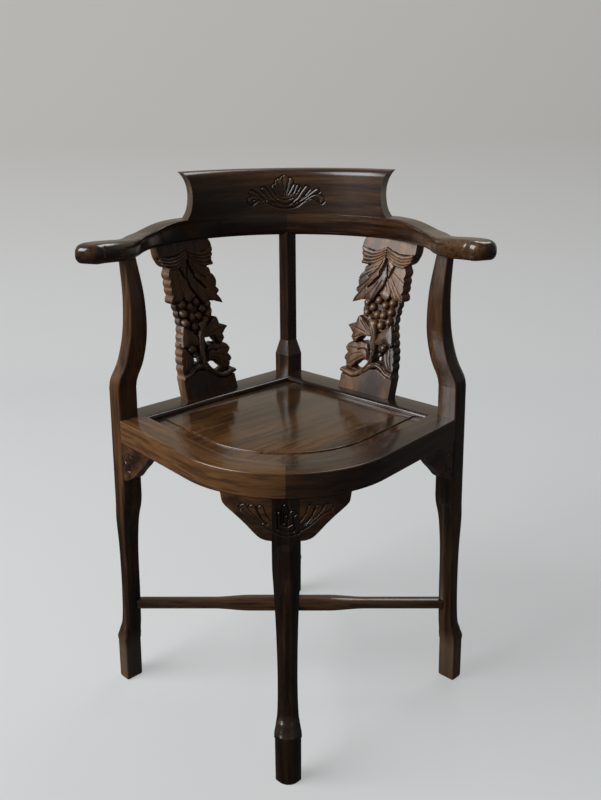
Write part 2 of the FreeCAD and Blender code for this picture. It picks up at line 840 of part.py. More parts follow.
def quarter_turn(shape):
    """X becomes Y: a bar along X turns to run from front to back."""
    turned = shape.copy()
    turned.rotate(Vector(0, 0, 0), Vector(0, 0, 1), 90)
    return turned


# Where the leg's inner corner stands at stretcher height
side_face = post_reach + ankle_share * side_splay - ankle_side / root_two + tenon_start_depth
front_face = (front_leg_reach + ankle_share * front_splay - front_ankle_side / root_two
              + tenon_start_depth)


def build():
    left_leg = side_leg_body()
    right_leg = mirrored(left_leg)
    back_leg = back_leg_body()
    front_leg = front_leg_body()

    side_length = side_face + stretcher_overrun
    side_bar = stretcher_bar(side_length, side_length)
    side_bar = side_bar.cut(left_leg).cut(right_leg)
    side_bar = side_bar.cut(lap_notch(True, 0.0))
    side_tenons = stretcher_tenons(side_face, side_face, 0.0)
    side_sockets = stretcher_tenons(side_face, side_face, joint_play)
    depth_bar = quarter_turn(stretcher_bar(front_face + stretcher_overrun, side_length))
    depth_bar = depth_bar.cut(front_leg).cut(back_leg)
    depth_bar = depth_bar.cut(lap_notch(False, 0.0))
    depth_tenons = quarter_turn(stretcher_tenons(front_face, side_face, 0.0))
    depth_sockets = quarter_turn(stretcher_tenons(front_face, side_face, joint_play))

    left_back_rail = back_rail_body()
    left_front_rail = front_rail_body()
    left_arm = arm_blank().cut(above_arm()).cut(below_club())
    crest = crest_body()
    left_splat = splat_body()

    rail_sockets = back_rail_tenons(joint_play)
    front_socket = front_rail_tenon(joint_play)
    left_leg = left_leg.cut(rail_sockets).cut(front_socket).cut(side_sockets)
    left_leg = merged(left_leg, side_post_tenon(round_tenon_radius))
    back_leg = back_leg.cut(rail_sockets).cut(mirrored(rail_sockets)).cut(depth_sockets)
    back_leg = merged(back_leg, back_post_tenon(round_tenon_radius))
    front_leg = front_leg.cut(depth_sockets)
    front_leg = merged(front_leg, front_leg_tenon(0.0))

    left_back_rail = merged(left_back_rail, back_rail_tenons(0.0))
    left_back_rail = left_back_rail.cut(splat_foot_tenon(joint_play))
    left_front_rail = merged(left_front_rail, front_rail_tenon(0.0))
    left_front_rail = left_front_rail.cut(front_leg_tenon(joint_play)).cut(mitre_tongue(0.0))
    left_splat = merged(left_splat, splat_foot_tenon(0.0), splat_top_tenon(0.0))

    dowels = crest_dowels(0.0)
    dowel_holes = crest_dowels(joint_play)
    for cutter in (
        side_post_tenon(round_tenon_radius + joint_play),
        back_post_tenon(round_tenon_radius + joint_play),
        splat_top_tenon(joint_play),
        dowel_holes,
        arm_tongue(0.0),
    ):
        left_arm = left_arm.cut(cutter)

    return {
        "front_leg": front_leg,
        "back_leg": back_leg,
        "left_leg": left_leg,
        "right_leg": mirrored(left_leg),
        "left_front_rail": left_front_rail,
        "right_front_rail": mirrored(left_front_rail),
        "left_back_rail": left_back_rail,
        "right_back_rail": mirrored(left_back_rail),
        "seat_panel": seat_panel_body(),
        "panel_battens": panel_battens(),
        "front_mitre_tongue": mitre_tongue(0.0),
        "left_knee_bracket": knee_bracket_body(),
        "right_knee_bracket": mirrored(knee_bracket_body()),
        "left_side_bracket": side_bracket_body(),
        "right_side_bracket": mirrored(side_bracket_body()),
        "left_splat": left_splat,
        "right_splat": mirrored(left_splat),
        "left_arm": left_arm,
        "right_arm": mirrored(left_arm),
        "arm_joint_tongue": arm_tongue(0.0),
        "crest_rail": crest.cut(dowel_holes),
        "crest_dowels": dowels,
        "side_stretcher": merged(side_bar, side_tenons),
        "depth_stretcher": merged(depth_bar, depth_tenons),
    }


def centred(shapes):
    """Move everything so that the bounding box is centred on the origin, feet on the floor."""
    box = Part.Compound(list(shapes.values())).BoundBox
    shift = Vector(-(box.XMin + box.XMax) / 2, -(box.YMin + box.YMax) / 2, -box.ZMin)
    for shape in shapes.values():
        shape.translate(shift)
    return shift


os.makedirs("parts", exist_ok=True)
pieces = build()
moved = centred(pieces)
for name, shape in pieces.items():
    solids = shape.Solids
    kept = solids[0] if len(solids) == 1 else Part.Compound(solids)
    kept.exportStep("parts/" + name + ".step")
    print(name, len(solids), round(shape.Volume), shape.isValid())
print("seat middle stands at", moved)
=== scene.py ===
import math

import bmesh
import bpy
import numpy as np
from mathutils import Matrix, Vector


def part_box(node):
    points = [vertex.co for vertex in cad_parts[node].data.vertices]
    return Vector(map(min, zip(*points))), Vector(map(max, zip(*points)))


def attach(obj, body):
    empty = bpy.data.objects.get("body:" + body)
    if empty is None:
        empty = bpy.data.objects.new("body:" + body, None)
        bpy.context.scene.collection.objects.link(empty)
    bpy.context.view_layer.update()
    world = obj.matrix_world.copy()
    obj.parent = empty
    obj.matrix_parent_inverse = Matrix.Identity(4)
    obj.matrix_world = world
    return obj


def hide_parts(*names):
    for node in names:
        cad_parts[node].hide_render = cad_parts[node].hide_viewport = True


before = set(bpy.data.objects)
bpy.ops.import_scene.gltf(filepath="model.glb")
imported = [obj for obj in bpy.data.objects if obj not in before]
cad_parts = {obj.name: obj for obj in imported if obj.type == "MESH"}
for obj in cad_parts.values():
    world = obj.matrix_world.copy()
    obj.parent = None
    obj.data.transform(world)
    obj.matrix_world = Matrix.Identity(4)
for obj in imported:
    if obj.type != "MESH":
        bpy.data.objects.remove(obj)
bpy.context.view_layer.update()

# Lengths are millimetres about the middle of the seat, with +Z up and -Y to the viewer.
# finishPiece() turns them to metres and moves them to where the frame has the chair.
mm = 0.001
rootTwo = math.sqrt(2)
seatMiddleY = sum(corner.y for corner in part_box("left_leg")) / 2

chair = {
    "seatTop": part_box("right_back_rail")[1].z / mm,
    "railBottom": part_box("right_front_rail")[0].z / mm,
    "armUnderside": 698,
    "crestBottom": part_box("crest_rail")[0].z / mm,
    "crestTop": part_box("crest_rail")[1].z / mm,
    "postReach": 255,         # seat middle to the middle of a side or back leg
    "postSide": 34.5,
    "frontLegReach": 222,
    "bowRadius": 176,
    "bowReach": 235,
    "frontRailWidth": 44,
    "backRailWidth": 50,
    "armRadius": 234,
    "armCentreY": 26,
    "intoArm": 6,             # how far a post goes up into the arm
    "ankleSplay": 0.32,       # share of a leg's splay at its ankle
}
bowCentre = Vector((0, chair["bowRadius"] - chair["bowReach"], 0))
armCentre = Vector((0, chair["armCentreY"], 0))
postCorner = chair["postSide"] / rootTwo
railInner = chair["postReach"] / rootTwo + chair["postSide"] / 2 - chair["backRailWidth"]


def findStraightAngle():
    # the straight of a front rail touches the bow and ends at the side post's front corner
    cornerY = bowCentre.y + postCorner
    distance = math.hypot(chair["postReach"], cornerY)
    return math.asin(chair["bowRadius"] / distance) - math.atan2(cornerY, chair["postReach"])


straightAngle = findStraightAngle()
straightOut = Vector((-math.sin(straightAngle), -math.cos(straightAngle), 0))
straightAlong = Vector((math.cos(straightAngle), -math.sin(straightAngle), 0))


# Small tools

def between(low, high, share):
    return low + share * (high - low)


def smoothPath(points, steps):
    # a smooth line through the points, which may have any number of coordinates
    rows = [np.array(point, float) for point in points]
    rows = [2 * rows[0] - rows[1]] + rows + [2 * rows[-1] - rows[-2]]
    line = []
    for a, b, c, d in zip(rows, rows[1:], rows[2:], rows[3:]):
        for step in range(steps):
            t = step / steps
            line.append(tuple(0.5 * (2 * b + (c - a) * t + (2 * a - 5 * b + 4 * c - d) * t ** 2
                                     + (3 * b - a - 3 * c + d) * t ** 3)))
    line.append(tuple(rows[-2]))
    return line


def newFace(bm, points):
    return bm.faces.new([bm.verts.new(point) for point in points])


def roundCorners(bm, verts, radius, segments=4):
    bmesh.ops.bevel(bm, geom=verts, offset=radius, segments=segments, profile=0.5,
                    affect="VERTICES", material=-1)


def sweepFace(bm, face, places):
    # extrudes the face from place to place; each place is a matrix over the face as drawn
    last = Matrix.Identity(4)
    for place in places:
        made = bmesh.ops.extrude_face_region(bm, geom=[face])["geom"]
        verts = [item for item in made if isinstance(item, bmesh.types.BMVert)]
        bmesh.ops.transform(bm, matrix=place @ last.inverted(), verts=verts)
        face = [item for item in made if isinstance(item, bmesh.types.BMFace)][0]
        last = place
    return face


def loftRings(bm, rings):
    # a skin over rings of equal size, closed at both ends
    edgeRings = []
    for ring in rings:
        verts = [bm.verts.new(point) for point in ring]
        edgeRings.append([bm.edges.new(pair) for pair in zip(verts, verts[1:] + verts[:1])])
    for lower, upper in zip(edgeRings, edgeRings[1:]):
        bmesh.ops.bridge_loops(bm, edges=lower + upper)
    bmesh.ops.holes_fill(bm, edges=edgeRings[0] + edgeRings[-1])


def trim(bm, point, normal):
    # cuts off what lies on the side that the normal points to, and closes the cut
    geom = bm.verts[:] + bm.edges[:] + bm.faces[:]
    cut = bmesh.ops.bisect_plane(bm, geom=geom, dist=0.001, plane_co=point, plane_no=normal,
                                 clear_outer=True)["geom_cut"]
    edges = [item for item in cut if isinstance(item, bmesh.types.BMEdge)]
    bmesh.ops.holes_fill(bm, edges=[edge for edge in bm.edges if edge.is_boundary] or edges)


def addMesh(bm, other):
    # takes the other mesh into this one
    mesh = bpy.data.meshes.new("taken")
    other.to_mesh(mesh)
    other.free()
    bm.from_mesh(mesh)
    bpy.data.meshes.remove(mesh)


def mirrorPiece(bm):
    bmesh.ops.scale(bm, vec=(-1, 1, 1), verts=bm.verts)
    bmesh.ops.reverse_faces(bm, faces=bm.faces)


def markGrain(bm, centre, radius, side, reach):
    # where a point lies in bent wood: outward, up and along the bend, which runs on straight past reach
    layer = bm.verts.layers.float_vector.new("bentGrain")
    for vert in bm.verts:
        flat = Vector((vert.co.x - centre.x, side * (vert.co.y - centre.y)))
        bend = max(-reach, min(reach, math.atan2(flat.x, flat.y)))
        outward = Vector((math.sin(bend), math.cos(bend)))
        heading = Vector((math.cos(bend), -math.sin(bend)))
        vert[layer] = Vector((flat.dot(outward), vert.co.z, radius * bend + flat.dot(heading))) * mm


def finishPiece(bm, name, nodes, material, smoothAngle=34):
    bmesh.ops.scale(bm, vec=(mm, mm, mm), verts=bm.verts)
    bmesh.ops.translate(bm, vec=(0, seatMiddleY, 0), verts=bm.verts)
    bmesh.ops.recalc_face_normals(bm, faces=bm.faces)
    mesh = bpy.data.meshes.new(name)
    bm.to_mesh(mesh)
    bm.free()
    mesh.polygons.foreach_set("use_smooth", [True] * len(mesh.polygons))
    mesh.set_sharp_from_angle(angle=math.radians(smoothAngle))
    mesh.materials.append(material)
    piece = bpy.data.objects.new(name, mesh)
    bpy.context.scene.collection.objects.link(piece)
    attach(piece, "root")
    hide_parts(*nodes)
    return piece


def bothSides(make, name, materials, smoothAngle=34):
    # the left piece, and its mirror image on the right
    for side, material in zip(("left", "right"), materials):
        bm = make()
        if side == "right":
            mirrorPiece(bm)
        node = side + "_" + name
        finishPiece(bm, node + "_wood", [node], material, smoothAngle)


# Materials

woodLook = {
    "darkStreak": (0.0055, 0.0022, 0.0016, 1),
    "body": (0.027, 0.0115, 0.0052, 1),
    "warm": (0.130, 0.060, 0.021, 1),
    "figureScale": 9.0,        # broad figure per metre across the grain
    "streakScale": 46.0,
    "lineScale": 170.0,        # thin dark lines along the grain
    "poreScale": 620.0,
    "stretch": 0.07,           # how much longer everything is along the grain
    "nearFloorTint": (0.075, 0.058, 0.036, 1),
    "nearFloorHeights": (0.055, 0.085),
    "nearFloorRoughness": 0.2,
    # painted shade and wax at the bottom of the carving's hollows
    "hollowShadeAndWaxTone": 0.22,
    "evenWarmth": 0.35,        # a piece of this warmth keeps the noise as it comes
}


def addNode(tree, kind, **values):
    node = tree.nodes.new(kind)
    for key, value in values.items():
        if key in node.inputs:
            node.inputs[key].default_value = value
        else:
            setattr(node, key, value)
    return node


def ramp(tree, stops):
    node = tree.nodes.new("ShaderNodeValToRGB")
    elements = node.color_ramp.elements
    while len(elements) < len(stops):
        elements.new(0.5)
    for element, (place, colour) in zip(elements, stops):
        element.position = place
        element.color = colour
    return node


def grey(value):
    return (value, value, value, 1)


def rampOf(tree, factor, stops):
    node = ramp(tree, stops)
    tree.links.new(factor, node.inputs["Fac"])
    return node.outputs["Color"]


def addMix(tree, blend, factor, a, b):
    # mixes two colours; each value is a socket or a plain colour
    node = addNode(tree, "ShaderNodeMix", data_type="RGBA", blend_type=blend)
    for name, value in (("Factor", factor), ("A", a), ("B", b)):
        if isinstance(value, bpy.types.NodeSocket):
            tree.links.new(value, node.inputs[name])
        else:
            node.inputs[name].default_value = value
    return node.outputs["Result"]


def addNoise(tree, vector, **values):
    noise = addNode(tree, "ShaderNodeTexNoise", **values)
    tree.links.new(vector, noise.inputs["Vector"])
    return noise.outputs["Fac"]


def grainVector(tree, place, grain):
    # a place in the wood, with Z along the grain and everything drawn out that way
    squeeze = addNode(tree, "ShaderNodeMapping")
    squeeze.inputs["Scale"].default_value = (1, 1, woodLook["stretch"])
    if grain is None:
        bent = addNode(tree, "ShaderNodeAttribute", attribute_name="bentGrain")
        tree.links.new(bent.outputs["Vector"], squeeze.inputs["Vector"])
    else:
        turn = addNode(tree, "ShaderNodeMapping", vector_type="TEXTURE")
        turn.inputs["Rotation"].default_value = Vector(grain).to_track_quat("Z", "Y").to_euler()
        tree.links.new(place, turn.inputs["Vector"])
        tree.links.new(turn.outputs["Vector"], squeeze.inputs["Vector"])
    return squeeze.outputs["Vector"]


def paleNearFloor(tree, place, colour, rough):
    axes = addNode(tree, "ShaderNodeSeparateXYZ")
    tree.links.new(place, axes.inputs["Vector"])
    nearFloor = addNode(tree, "ShaderNodeMapRange")
    limits = woodLook["nearFloorHeights"] + (1.0, 0.0)
    for name, value in zip(("From Min", "From Max", "To Min", "To Max"), limits):
        nearFloor.inputs[name].default_value = value
    tree.links.new(axes.outputs["Z"], nearFloor.inputs["Value"])
    share = nearFloor.outputs["Result"]
    pale = addMix(tree, "ADD", 1.0, colour, woodLook["nearFloorTint"])
    dull = addNode(tree, "ShaderNodeMath", operation="MULTIPLY_ADD")
    dull.inputs[1].default_value = woodLook["nearFloorRoughness"]
    tree.links.new(share, dull.inputs[0])
    tree.links.new(rough, dull.inputs[2])
    return addMix(tree, "MIX", share, colour, pale), dull.outputs["Value"]


def handFinish(tree, place, pores):
    # slight waves of hand work under the open pores
    waves = addNode(tree, "ShaderNodeBump", Strength=0.25, Distance=0.0006)
    tree.links.new(addNoise(tree, place, Scale=28.0, Detail=1.0), waves.inputs["Height"])
    fine = addNode(tree, "ShaderNodeBump", Strength=0.35, Distance=0.00012)
    tree.links.new(pores, fine.inputs["Height"])
    tree.links.new(waves.outputs["Normal"], fine.inputs["Normal"])
    return fine.outputs["Normal"]


def woodMaterial(name, grain, warmth=0.35, lightness=1.0, roughness=0.24, coat=0.6, carved=False,
                 paleFeet=False):
    # grain is the direction in which the wood runs, or None where it follows a bend; with paleFeet the wood
    # is duller and paler near the floor
    look = woodLook
    material = bpy.data.materials.new(name)
    material.use_nodes = True
    tree = material.node_tree
    tree.nodes.clear()
    link = tree.links.new
    output = addNode(tree, "ShaderNodeOutputMaterial")
    shader = addNode(tree, "ShaderNodeBsdfPrincipled")
    shader.inputs["IOR"].default_value = 1.5
    shader.inputs["Coat Weight"].default_value = coat
    shader.inputs["Coat Roughness"].default_value = 0.3 if carved else 0.12
    link(shader.outputs["BSDF"], output.inputs["Surface"])

    place = addNode(tree, "ShaderNodeTexCoord").outputs["Object"]
    vector = grainVector(tree, place, grain)
    figure = addNoise(tree, vector, Scale=look["figureScale"], Detail=3.0, Distortion=0.8)
    streaks = addNoise(tree, vector, Scale=look["streakScale"], Detail=5.0, Roughness=0.62, Distortion=0.5)
    pores = addNoise(tree, vector, Scale=look["poreScale"], Detail=2.0)
    lines = addNoise(tree, vector, Scale=look["lineScale"], Detail=2.0, Distortion=0.3)

    blend = addNode(tree, "ShaderNodeMix", data_type="FLOAT")
    blend.inputs["Factor"].default_value = 0.52
    link(figure, blend.inputs["A"])
    link(streaks, blend.inputs["B"])
    shift = addNode(tree, "ShaderNodeMath", operation="ADD")
    shift.inputs[1].default_value = (warmth - look["evenWarmth"]) * 0.5
    link(blend.outputs["Result"], shift.inputs[0])

    def tone(colour):
        return tuple(lightness * channel for channel in colour[:3]) + (1,)

    woodStops = [(0.36, tone(look["darkStreak"])), (0.49, tone(look["body"])), (0.68, tone(look["warm"]))]
    colour = rampOf(tree, shift.outputs["Value"], woodStops)
    poreTone = rampOf(tree, pores, [(0.36, grey(0.45)), (0.52, grey(1.0))])
    colour = addMix(tree, "MULTIPLY", 0.55, colour, poreTone)
    lineTone = rampOf(tree, lines, [(0.40, grey(0.30)), (0.50, grey(1.0))])
    colour = addMix(tree, "MULTIPLY", 0.5 if carved else 0.7, colour, lineTone)
    if carved:
        # painted shade, together with wax and dust, darkens the hollows of the carving
        hollowShadeAndWax = addNode(tree, "ShaderNodeAttribute", attribute_name="hollowShadeAndWax").outputs["Fac"]
        hollowShadeAndWaxTone = rampOf(tree, hollowShadeAndWax, [(0.0, grey(1.0)), (1.0, grey(look["hollowShadeAndWaxTone"]))])
        colour = addMix(tree, "MULTIPLY", 1.0, colour, hollowShadeAndWaxTone)
    rough = rampOf(tree, figure, [(0.3, grey(roughness * 0.75)), (0.7, grey(roughness * 1.35))])
    if paleFeet:
        colour, rough = paleNearFloor(tree, place, colour, rough)
    link(colour, shader.inputs["Base Color"])
    link(rough, shader.inputs["Roughness"])
    link(handFinish(tree, place, pores), shader.inputs["Normal"])
    return material


leftRailGrain = (1, 1, 0)
rightRailGrain = (-1, 1, 0)
finishes = {
    "upright": woodMaterial("rosewoodUpright", (0, 0, 1), 0.40, 1.2, paleFeet=True),
    # painted shade: the front leg gets a darker copy of the legs' wood
    "frontLeg": woodMaterial("rosewoodShadedFrontLeg", (0, 0, 1), 0.34, 0.9),
    # painted light: the left bow is painted lighter and warmer as lit, the right bow darker as in shade
    "litLeftBow": woodMaterial("rosewoodLitLeftBow", None, 0.64, 1.35),
    "shadedRightBow": woodMaterial("rosewoodShadedRightBow", None, 0.40, 1.0),
    # painted light: the right back rail is painted a little lighter and warmer as lit
    "shadedLeftBack": woodMaterial("rosewoodShadedLeftBack", leftRailGrain, 0.40, 1.0, 0.2),
    "litRightBack": woodMaterial("rosewoodLitRightBack", rightRailGrain, 0.46, 1.1, 0.2),
    "panel": woodMaterial("rosewoodPanel", leftRailGrain, 0.60, 1.1, 0.17),
    # painted light: the right arm is painted warmer and lighter as lit
    "shadedLeftArm": woodMaterial("rosewoodShadedLeftArm", None, 0.38),
    "litRightArm": woodMaterial("rosewoodLitRightArm", None, 0.52, 1.0),
    "crest": woodMaterial("rosewoodCrest", None, 0.42, 1.1, 0.26, 0.55, True),
    # painted light: the right splat is painted much lighter as lit, the left splat darker as in shade
    "shadedLeftSplat": woodMaterial("rosewoodShadedLeftSplat", (0, 0, 1), 0.46, 1.5, 0.36, 0.35, True),
    "litRightSplat": woodMaterial("rosewoodLitRightSplat", (0, 0, 1), 0.50, 2.3, 0.36, 0.35, True),
    "knee": woodMaterial("rosewoodKnee", (1, 0, 0), 0.46, 1.3, 0.28, 0.5, True),
    "acrossBar": woodMaterial("rosewoodAcross", (1, 0, 0), 0.46, 1.3),
    "depthBar": woodMaterial("rosewoodDepth", (0, 1, 0), 0.40),
    "plain": woodMaterial("rosewoodPlain", (1, 0, 0), 0.5, 2.6, 0.6, 0.0),
}
print("materials made")


# Legs: drawn on the left, where the outer corner points to -X

sideLeg = {
    "foot": 29.2, "ankle": 24.3, "calf": 25.0, "block": chair["postSide"],
    "reach": chair["postReach"], "splay": 10.5, "round": 0.42, "segments": 9,
}
frontLeg = {
    "foot": 26.6, "ankle": 20.5, "calf": 22.5, "block": 29.0,
    "reach": chair["frontLegReach"], "splay": 24.0, "round": 0.70, "segments": 14, "stepBack": 2.5,
    "stepHeights": (340, 352),
}
# how far a level of the foot and its collar lies from the floor or the foot's top, and how much wider it is
footEdge = [(0.0, -2.2), (0.8, -0.8), (2.2, 0.0)]
footCollar = [(-2.0, 0.5), (0.0, 0.5), (0.4, 1.7), (1.6, 2.0), (5.0, 1.9)]
legHeights = {"foot": 68, "ankle": 156, "calf": 225, "knee": 318}
sidePost = {"blockTop": 498, "waist": 585, "waistSide": 31.0, "topSide": 21.5, "inward": 23.5,
            "topInward": 17.5}
backPost = {"blockTop": 482, "taper": 26, "side": 22.0}


def lowerLegStations(leg):
    foot, ankle, calf, block = leg["foot"], leg["ankle"], leg["calf"], leg["block"]
    reach, splay = leg["reach"], leg["splay"]
    footReach = reach + splay
    ankleReach = reach + chair["ankleSplay"] * splay
    h = legHeights
    stations = [(z, footReach, foot + wider) for z, wider in footEdge]
    stations += [(h["foot"] + z, footReach, foot + wider) for z, wider in footCollar]
    lowCurve = [
        (h["foot"] + 8.0, reach + 0.92 * splay, foot + 1.4),
        (between(h["foot"], h["ankle"], 0.20), reach + 0.74 * splay, between(ankle, foot, 0.72)),
        (between(h["foot"], h["ankle"], 0.40), reach + 0.46 * splay, between(ankle, foot, 0.18)),
        (h["ankle"], ankleReach, ankle),
        (h["calf"], ankleReach, calf),
        (between(h["calf"], h["knee"], 0.56), reach + 0.3 * splay, between(calf, block, 0.5)),
        (between(h["calf"], h["knee"], 0.85), reach + 0.06 * splay, between(calf, block, 0.9)),
        (h["knee"], reach, block),
    ]
    return stations + smoothPath(lowCurve, 6)


def legSolid(leg, stations):
    bm = bmesh.new()
    side = leg["block"]
    verts = bmesh.ops.create_circle(bm, cap_ends=True, segments=4, radius=side / rootTwo)["verts"]
    verts.sort(key=lambda vert: vert.co.x)
    roundCorners(bm, verts[:1], side * leg["round"], leg["segments"])
    others = [vert for vert in bm.verts if vert.co.x > -1 - side / rootTwo + side * leg["round"]]
    corners = [vert for vert in others if min(abs(vert.co.x), abs(vert.co.y)) < 0.01
               and max(abs(vert.co.x), abs(vert.co.y)) > side / rootTwo - 0.01]
    roundCorners(bm, corners, side * 0.08, 3)
    places = []
    for z, reach, size in stations:
        share = size / side
        places.append(Matrix.Translation((-reach, 0, z)) @ Matrix.Diagonal((share, share, 1, 1)))
    face = bm.faces[:][0]
    bmesh.ops.transform(bm, matrix=places[0], verts=bm.verts)
    sweepFace(bm, face, [place @ places[0].inverted() for place in places[1:]])
    return bm


def makeSideLeg():
    post = sidePost
    reach, block = sideLeg["reach"], sideLeg["block"]
    top = chair["armUnderside"]
    swing = post["waist"] - post["blockTop"]
    curve = [
        (post["blockTop"], reach, block),
        (post["blockTop"] + 0.16 * swing, reach - 0.12 * post["inward"], block),
        (post["blockTop"] + 0.5 * swing, reach - 0.62 * post["inward"],
         between(post["waistSide"], block, 0.6)),
        (post["waist"], reach - 0.97 * post["inward"], post["waistSide"]),
        (between(post["waist"], top, 0.5), reach - post["inward"],
         between(post["topSide"], post["waistSide"], 0.58)),
        (top, reach - post["topInward"], post["topSide"]),
        (top + chair["intoArm"], reach - post["topInward"], post["topSide"]),
    ]
    return legSolid(sideLeg, lowerLegStations(sideLeg) + smoothPath(curve, 7))


def makeBackLeg():
    post = backPost
    reach, block = sideLeg["reach"], sideLeg["block"]
    taperTop = post["blockTop"] + post["taper"]
    curve = [
        (post["blockTop"], reach, block),
        (post["blockTop"] + 0.4 * post["taper"], reach, between(post["side"], block, 0.62)),
        (taperTop, reach, post["side"]),
    ]
    top = [(chair["armUnderside"] + chair["intoArm"], reach, post["side"])]
    bm = legSolid(sideLeg, lowerLegStations(sideLeg) + smoothPath(curve, 6) + top)
    bmesh.ops.rotate(bm, cent=(0, 0, 0), matrix=Matrix.Rotation(-math.pi / 2, 3, "Z"), verts=bm.verts)
    return bm


def makeFrontLeg():
    behind = frontLeg["reach"] - frontLeg["stepBack"]
    low, high = frontLeg["stepHeights"]
    levels = [(low, frontLeg["reach"]), (high, behind), (chair["railBottom"], behind)]
    stations = lowerLegStations(frontLeg) + [(z, reach, frontLeg["block"]) for z, reach in levels]
    bm = legSolid(frontLeg, stations)
    bmesh.ops.rotate(bm, cent=(0, 0, 0), matrix=Matrix.Rotation(math.pi / 2, 3, "Z"), verts=bm.verts)
    return bm


bothSides(makeSideLeg, "leg", (finishes["upright"],) * 2)
finishPiece(makeBackLeg(), "back_leg_wood", ["back_leg"], finishes["upright"])
print("legs made")


# Seat frame

postInner = Vector((-chair["postReach"] + postCorner, 0, 0))     # inner corner of the left post


def bowedLoop(backInset, centreY, radius, z, steps=24):
    # outline of the seat's opening: square at the back, two straights and a round bow
    backLine = (railInner - backInset) * rootTwo
    shift = radius + centreY * straightOut.y
    sideX = (shift - backLine * straightOut.y) / (straightOut.x + straightOut.y)
    points = [Vector((0, backLine, z)), Vector((sideX, sideX + backLine, z))]
    for step in range(2 * steps + 1):
        angle = -math.pi / 2 - straightAngle * (1 - step / steps)
        points.append(Vector((radius * math.cos(angle), centreY + radius * math.sin(angle), z)))
    points.append(Vector((-sideX, sideX + backLine, z)))
    return points


innerRadius = chair["bowRadius"] - chair["frontRailWidth"]
seatCorner = bowedLoop(0, bowCentre.y, innerRadius, 0)[1]
jointNormal = (seatCorner - postInner).cross(Vector((0, 0, 1))).normalized()   # to the front


def railSection(bm, low, high, rounds):
    # upright section in the plane x = 0; rounds go: low bottom, high bottom, high top, low top
    z0, z1 = chair["railBottom"], chair["seatTop"]
    face = newFace(bm, [(0, low, z0), (0, high, z0), (0, high, z1), (0, low, z1)])
    for vert, radius in zip(face.verts[:], rounds):
        roundCorners(bm, [vert], radius, 5)
    return bm.faces[:][0]


def makeFrontRail():
    bm = bmesh.new()
    outer = -chair["bowReach"]
    face = railSection(bm, outer, outer + chair["frontRailWidth"], (2.0, 1.5, 2.2, 1.7))
    steps = 30
    places = []
    for step in range(1, steps + 1):
        turn = Matrix.Rotation(-straightAngle * step / steps, 4, "Z")
        places.append(Matrix.Translation(bowCentre) @ turn @ Matrix.Translation(-bowCentre))
    run = 220
    places.append(Matrix.Translation(straightAlong * -run) @ places[-1])
    sweepFace(bm, face, places)
    trim(bm, postInner, Vector((-1, 1, 0)))
    trim(bm, postInner, -jointNormal)
    markGrain(bm, bowCentre, chair["bowRadius"], -1, straightAngle)
    return bm


def makeBackRail():
    bm = bmesh.new()
    inner = railInner
    face = railSection(bm, inner, inner + chair["backRailWidth"], (1.5, 1.5, 2.5, 5.5))
    reach = 320
    start = Matrix.Translation((-reach, 0, 0))
    bmesh.ops.transform(bm, matrix=start, verts=bm.verts)
    sweepFace(bm, face, [Matrix.Translation((2 * reach, 0, 0))])
    bmesh.ops.rotate(bm, cent=(0, 0, 0), matrix=Matrix.Rotation(math.pi / 4, 3, "Z"), verts=bm.verts)
    trim(bm, postInner, Vector((-1, -1, 0)))
    trim(bm, postInner, jointNormal)
    trim(bm, Vector((0, chair["postReach"] - postCorner, 0)), Vector((1, 1, 0)))
    trim(bm, Vector((0, 0, 0)), Vector((1, 0, 0)))
    return bm


panel = {
    "top": 441, "thickness": 12, "fieldRise": 2.0, "play": 0.3,
    "frontBorder": 50, "sideBorder": 26, "fieldRound": 1.6, "joints": [-97, 42], "jointGap": 0.12,
}


def addBoard(bm, low, high):
    # one board of the raised field, between two joints that run along the left back rail
    board = bmesh.new()
    lean = math.cos(straightAngle)
    frontY = bowCentre.y - innerRadius + panel["frontBorder"]
    sideDistance = innerRadius - lean * bowCentre.y - panel["sideBorder"]
    centreY = (frontY + sideDistance) / (1 - lean)
    outline = bowedLoop(panel["play"] + 0.2, centreY, centreY - frontY, panel["top"] - 1)
    sweepFace(board, newFace(board, outline), [Matrix.Translation((0, 0, panel["fieldRise"] + 1))])
    across = Vector((-1, 1, 0)).normalized()
    trim(board, across * (high - panel["jointGap"]), across)
    trim(board, across * (low + panel["jointGap"]), -across)

    def liesAtJoint(edge):
        heading = (edge.verts[0].co - edge.verts[1].co).normalized()
        distance = edge.verts[0].co.dot(across)
        return abs(heading.dot(across)) < 0.01 and min(abs(distance - low), abs(distance - high)) < 1

    rim = [edge for edge in board.edges if min(vert.co.z for vert in edge.verts) > panel["top"]]
    border = [edge for edge in rim if not liesAtJoint(edge)]
    bmesh.ops.bevel(board, geom=border, offset=panel["fieldRound"], segments=4, profile=0.5,
                    affect="EDGES", material=-1)
    addMesh(bm, board)


def makePanel():
    bm = bmesh.new()
    plate = newFace(bm, bowedLoop(panel["play"], bowCentre.y, innerRadius - panel["play"],
                                  panel["top"] - panel["thickness"]))
    sweepFace(bm, plate, [Matrix.Translation((0, 0, panel["thickness"]))])
    joints = [-400] + panel["joints"] + [400]
    for low, high in zip(joints, joints[1:]):
        addBoard(bm, low, high)
    return bm


bothSides(makeFrontRail, "front_rail", (finishes["litLeftBow"], finishes["shadedRightBow"]))
bothSides(makeBackRail, "back_rail", (finishes["shadedLeftBack"], finishes["litRightBack"]))
finishPiece(makePanel(), "seat_board", ["seat_panel"], finishes["panel"])
print("seat made")


# Carving: a fine grid whose points are lowered and raised, then sawn to an outline.
# In its own plane X runs across, Y up, and Z towards the viewer, with 0 at the face.

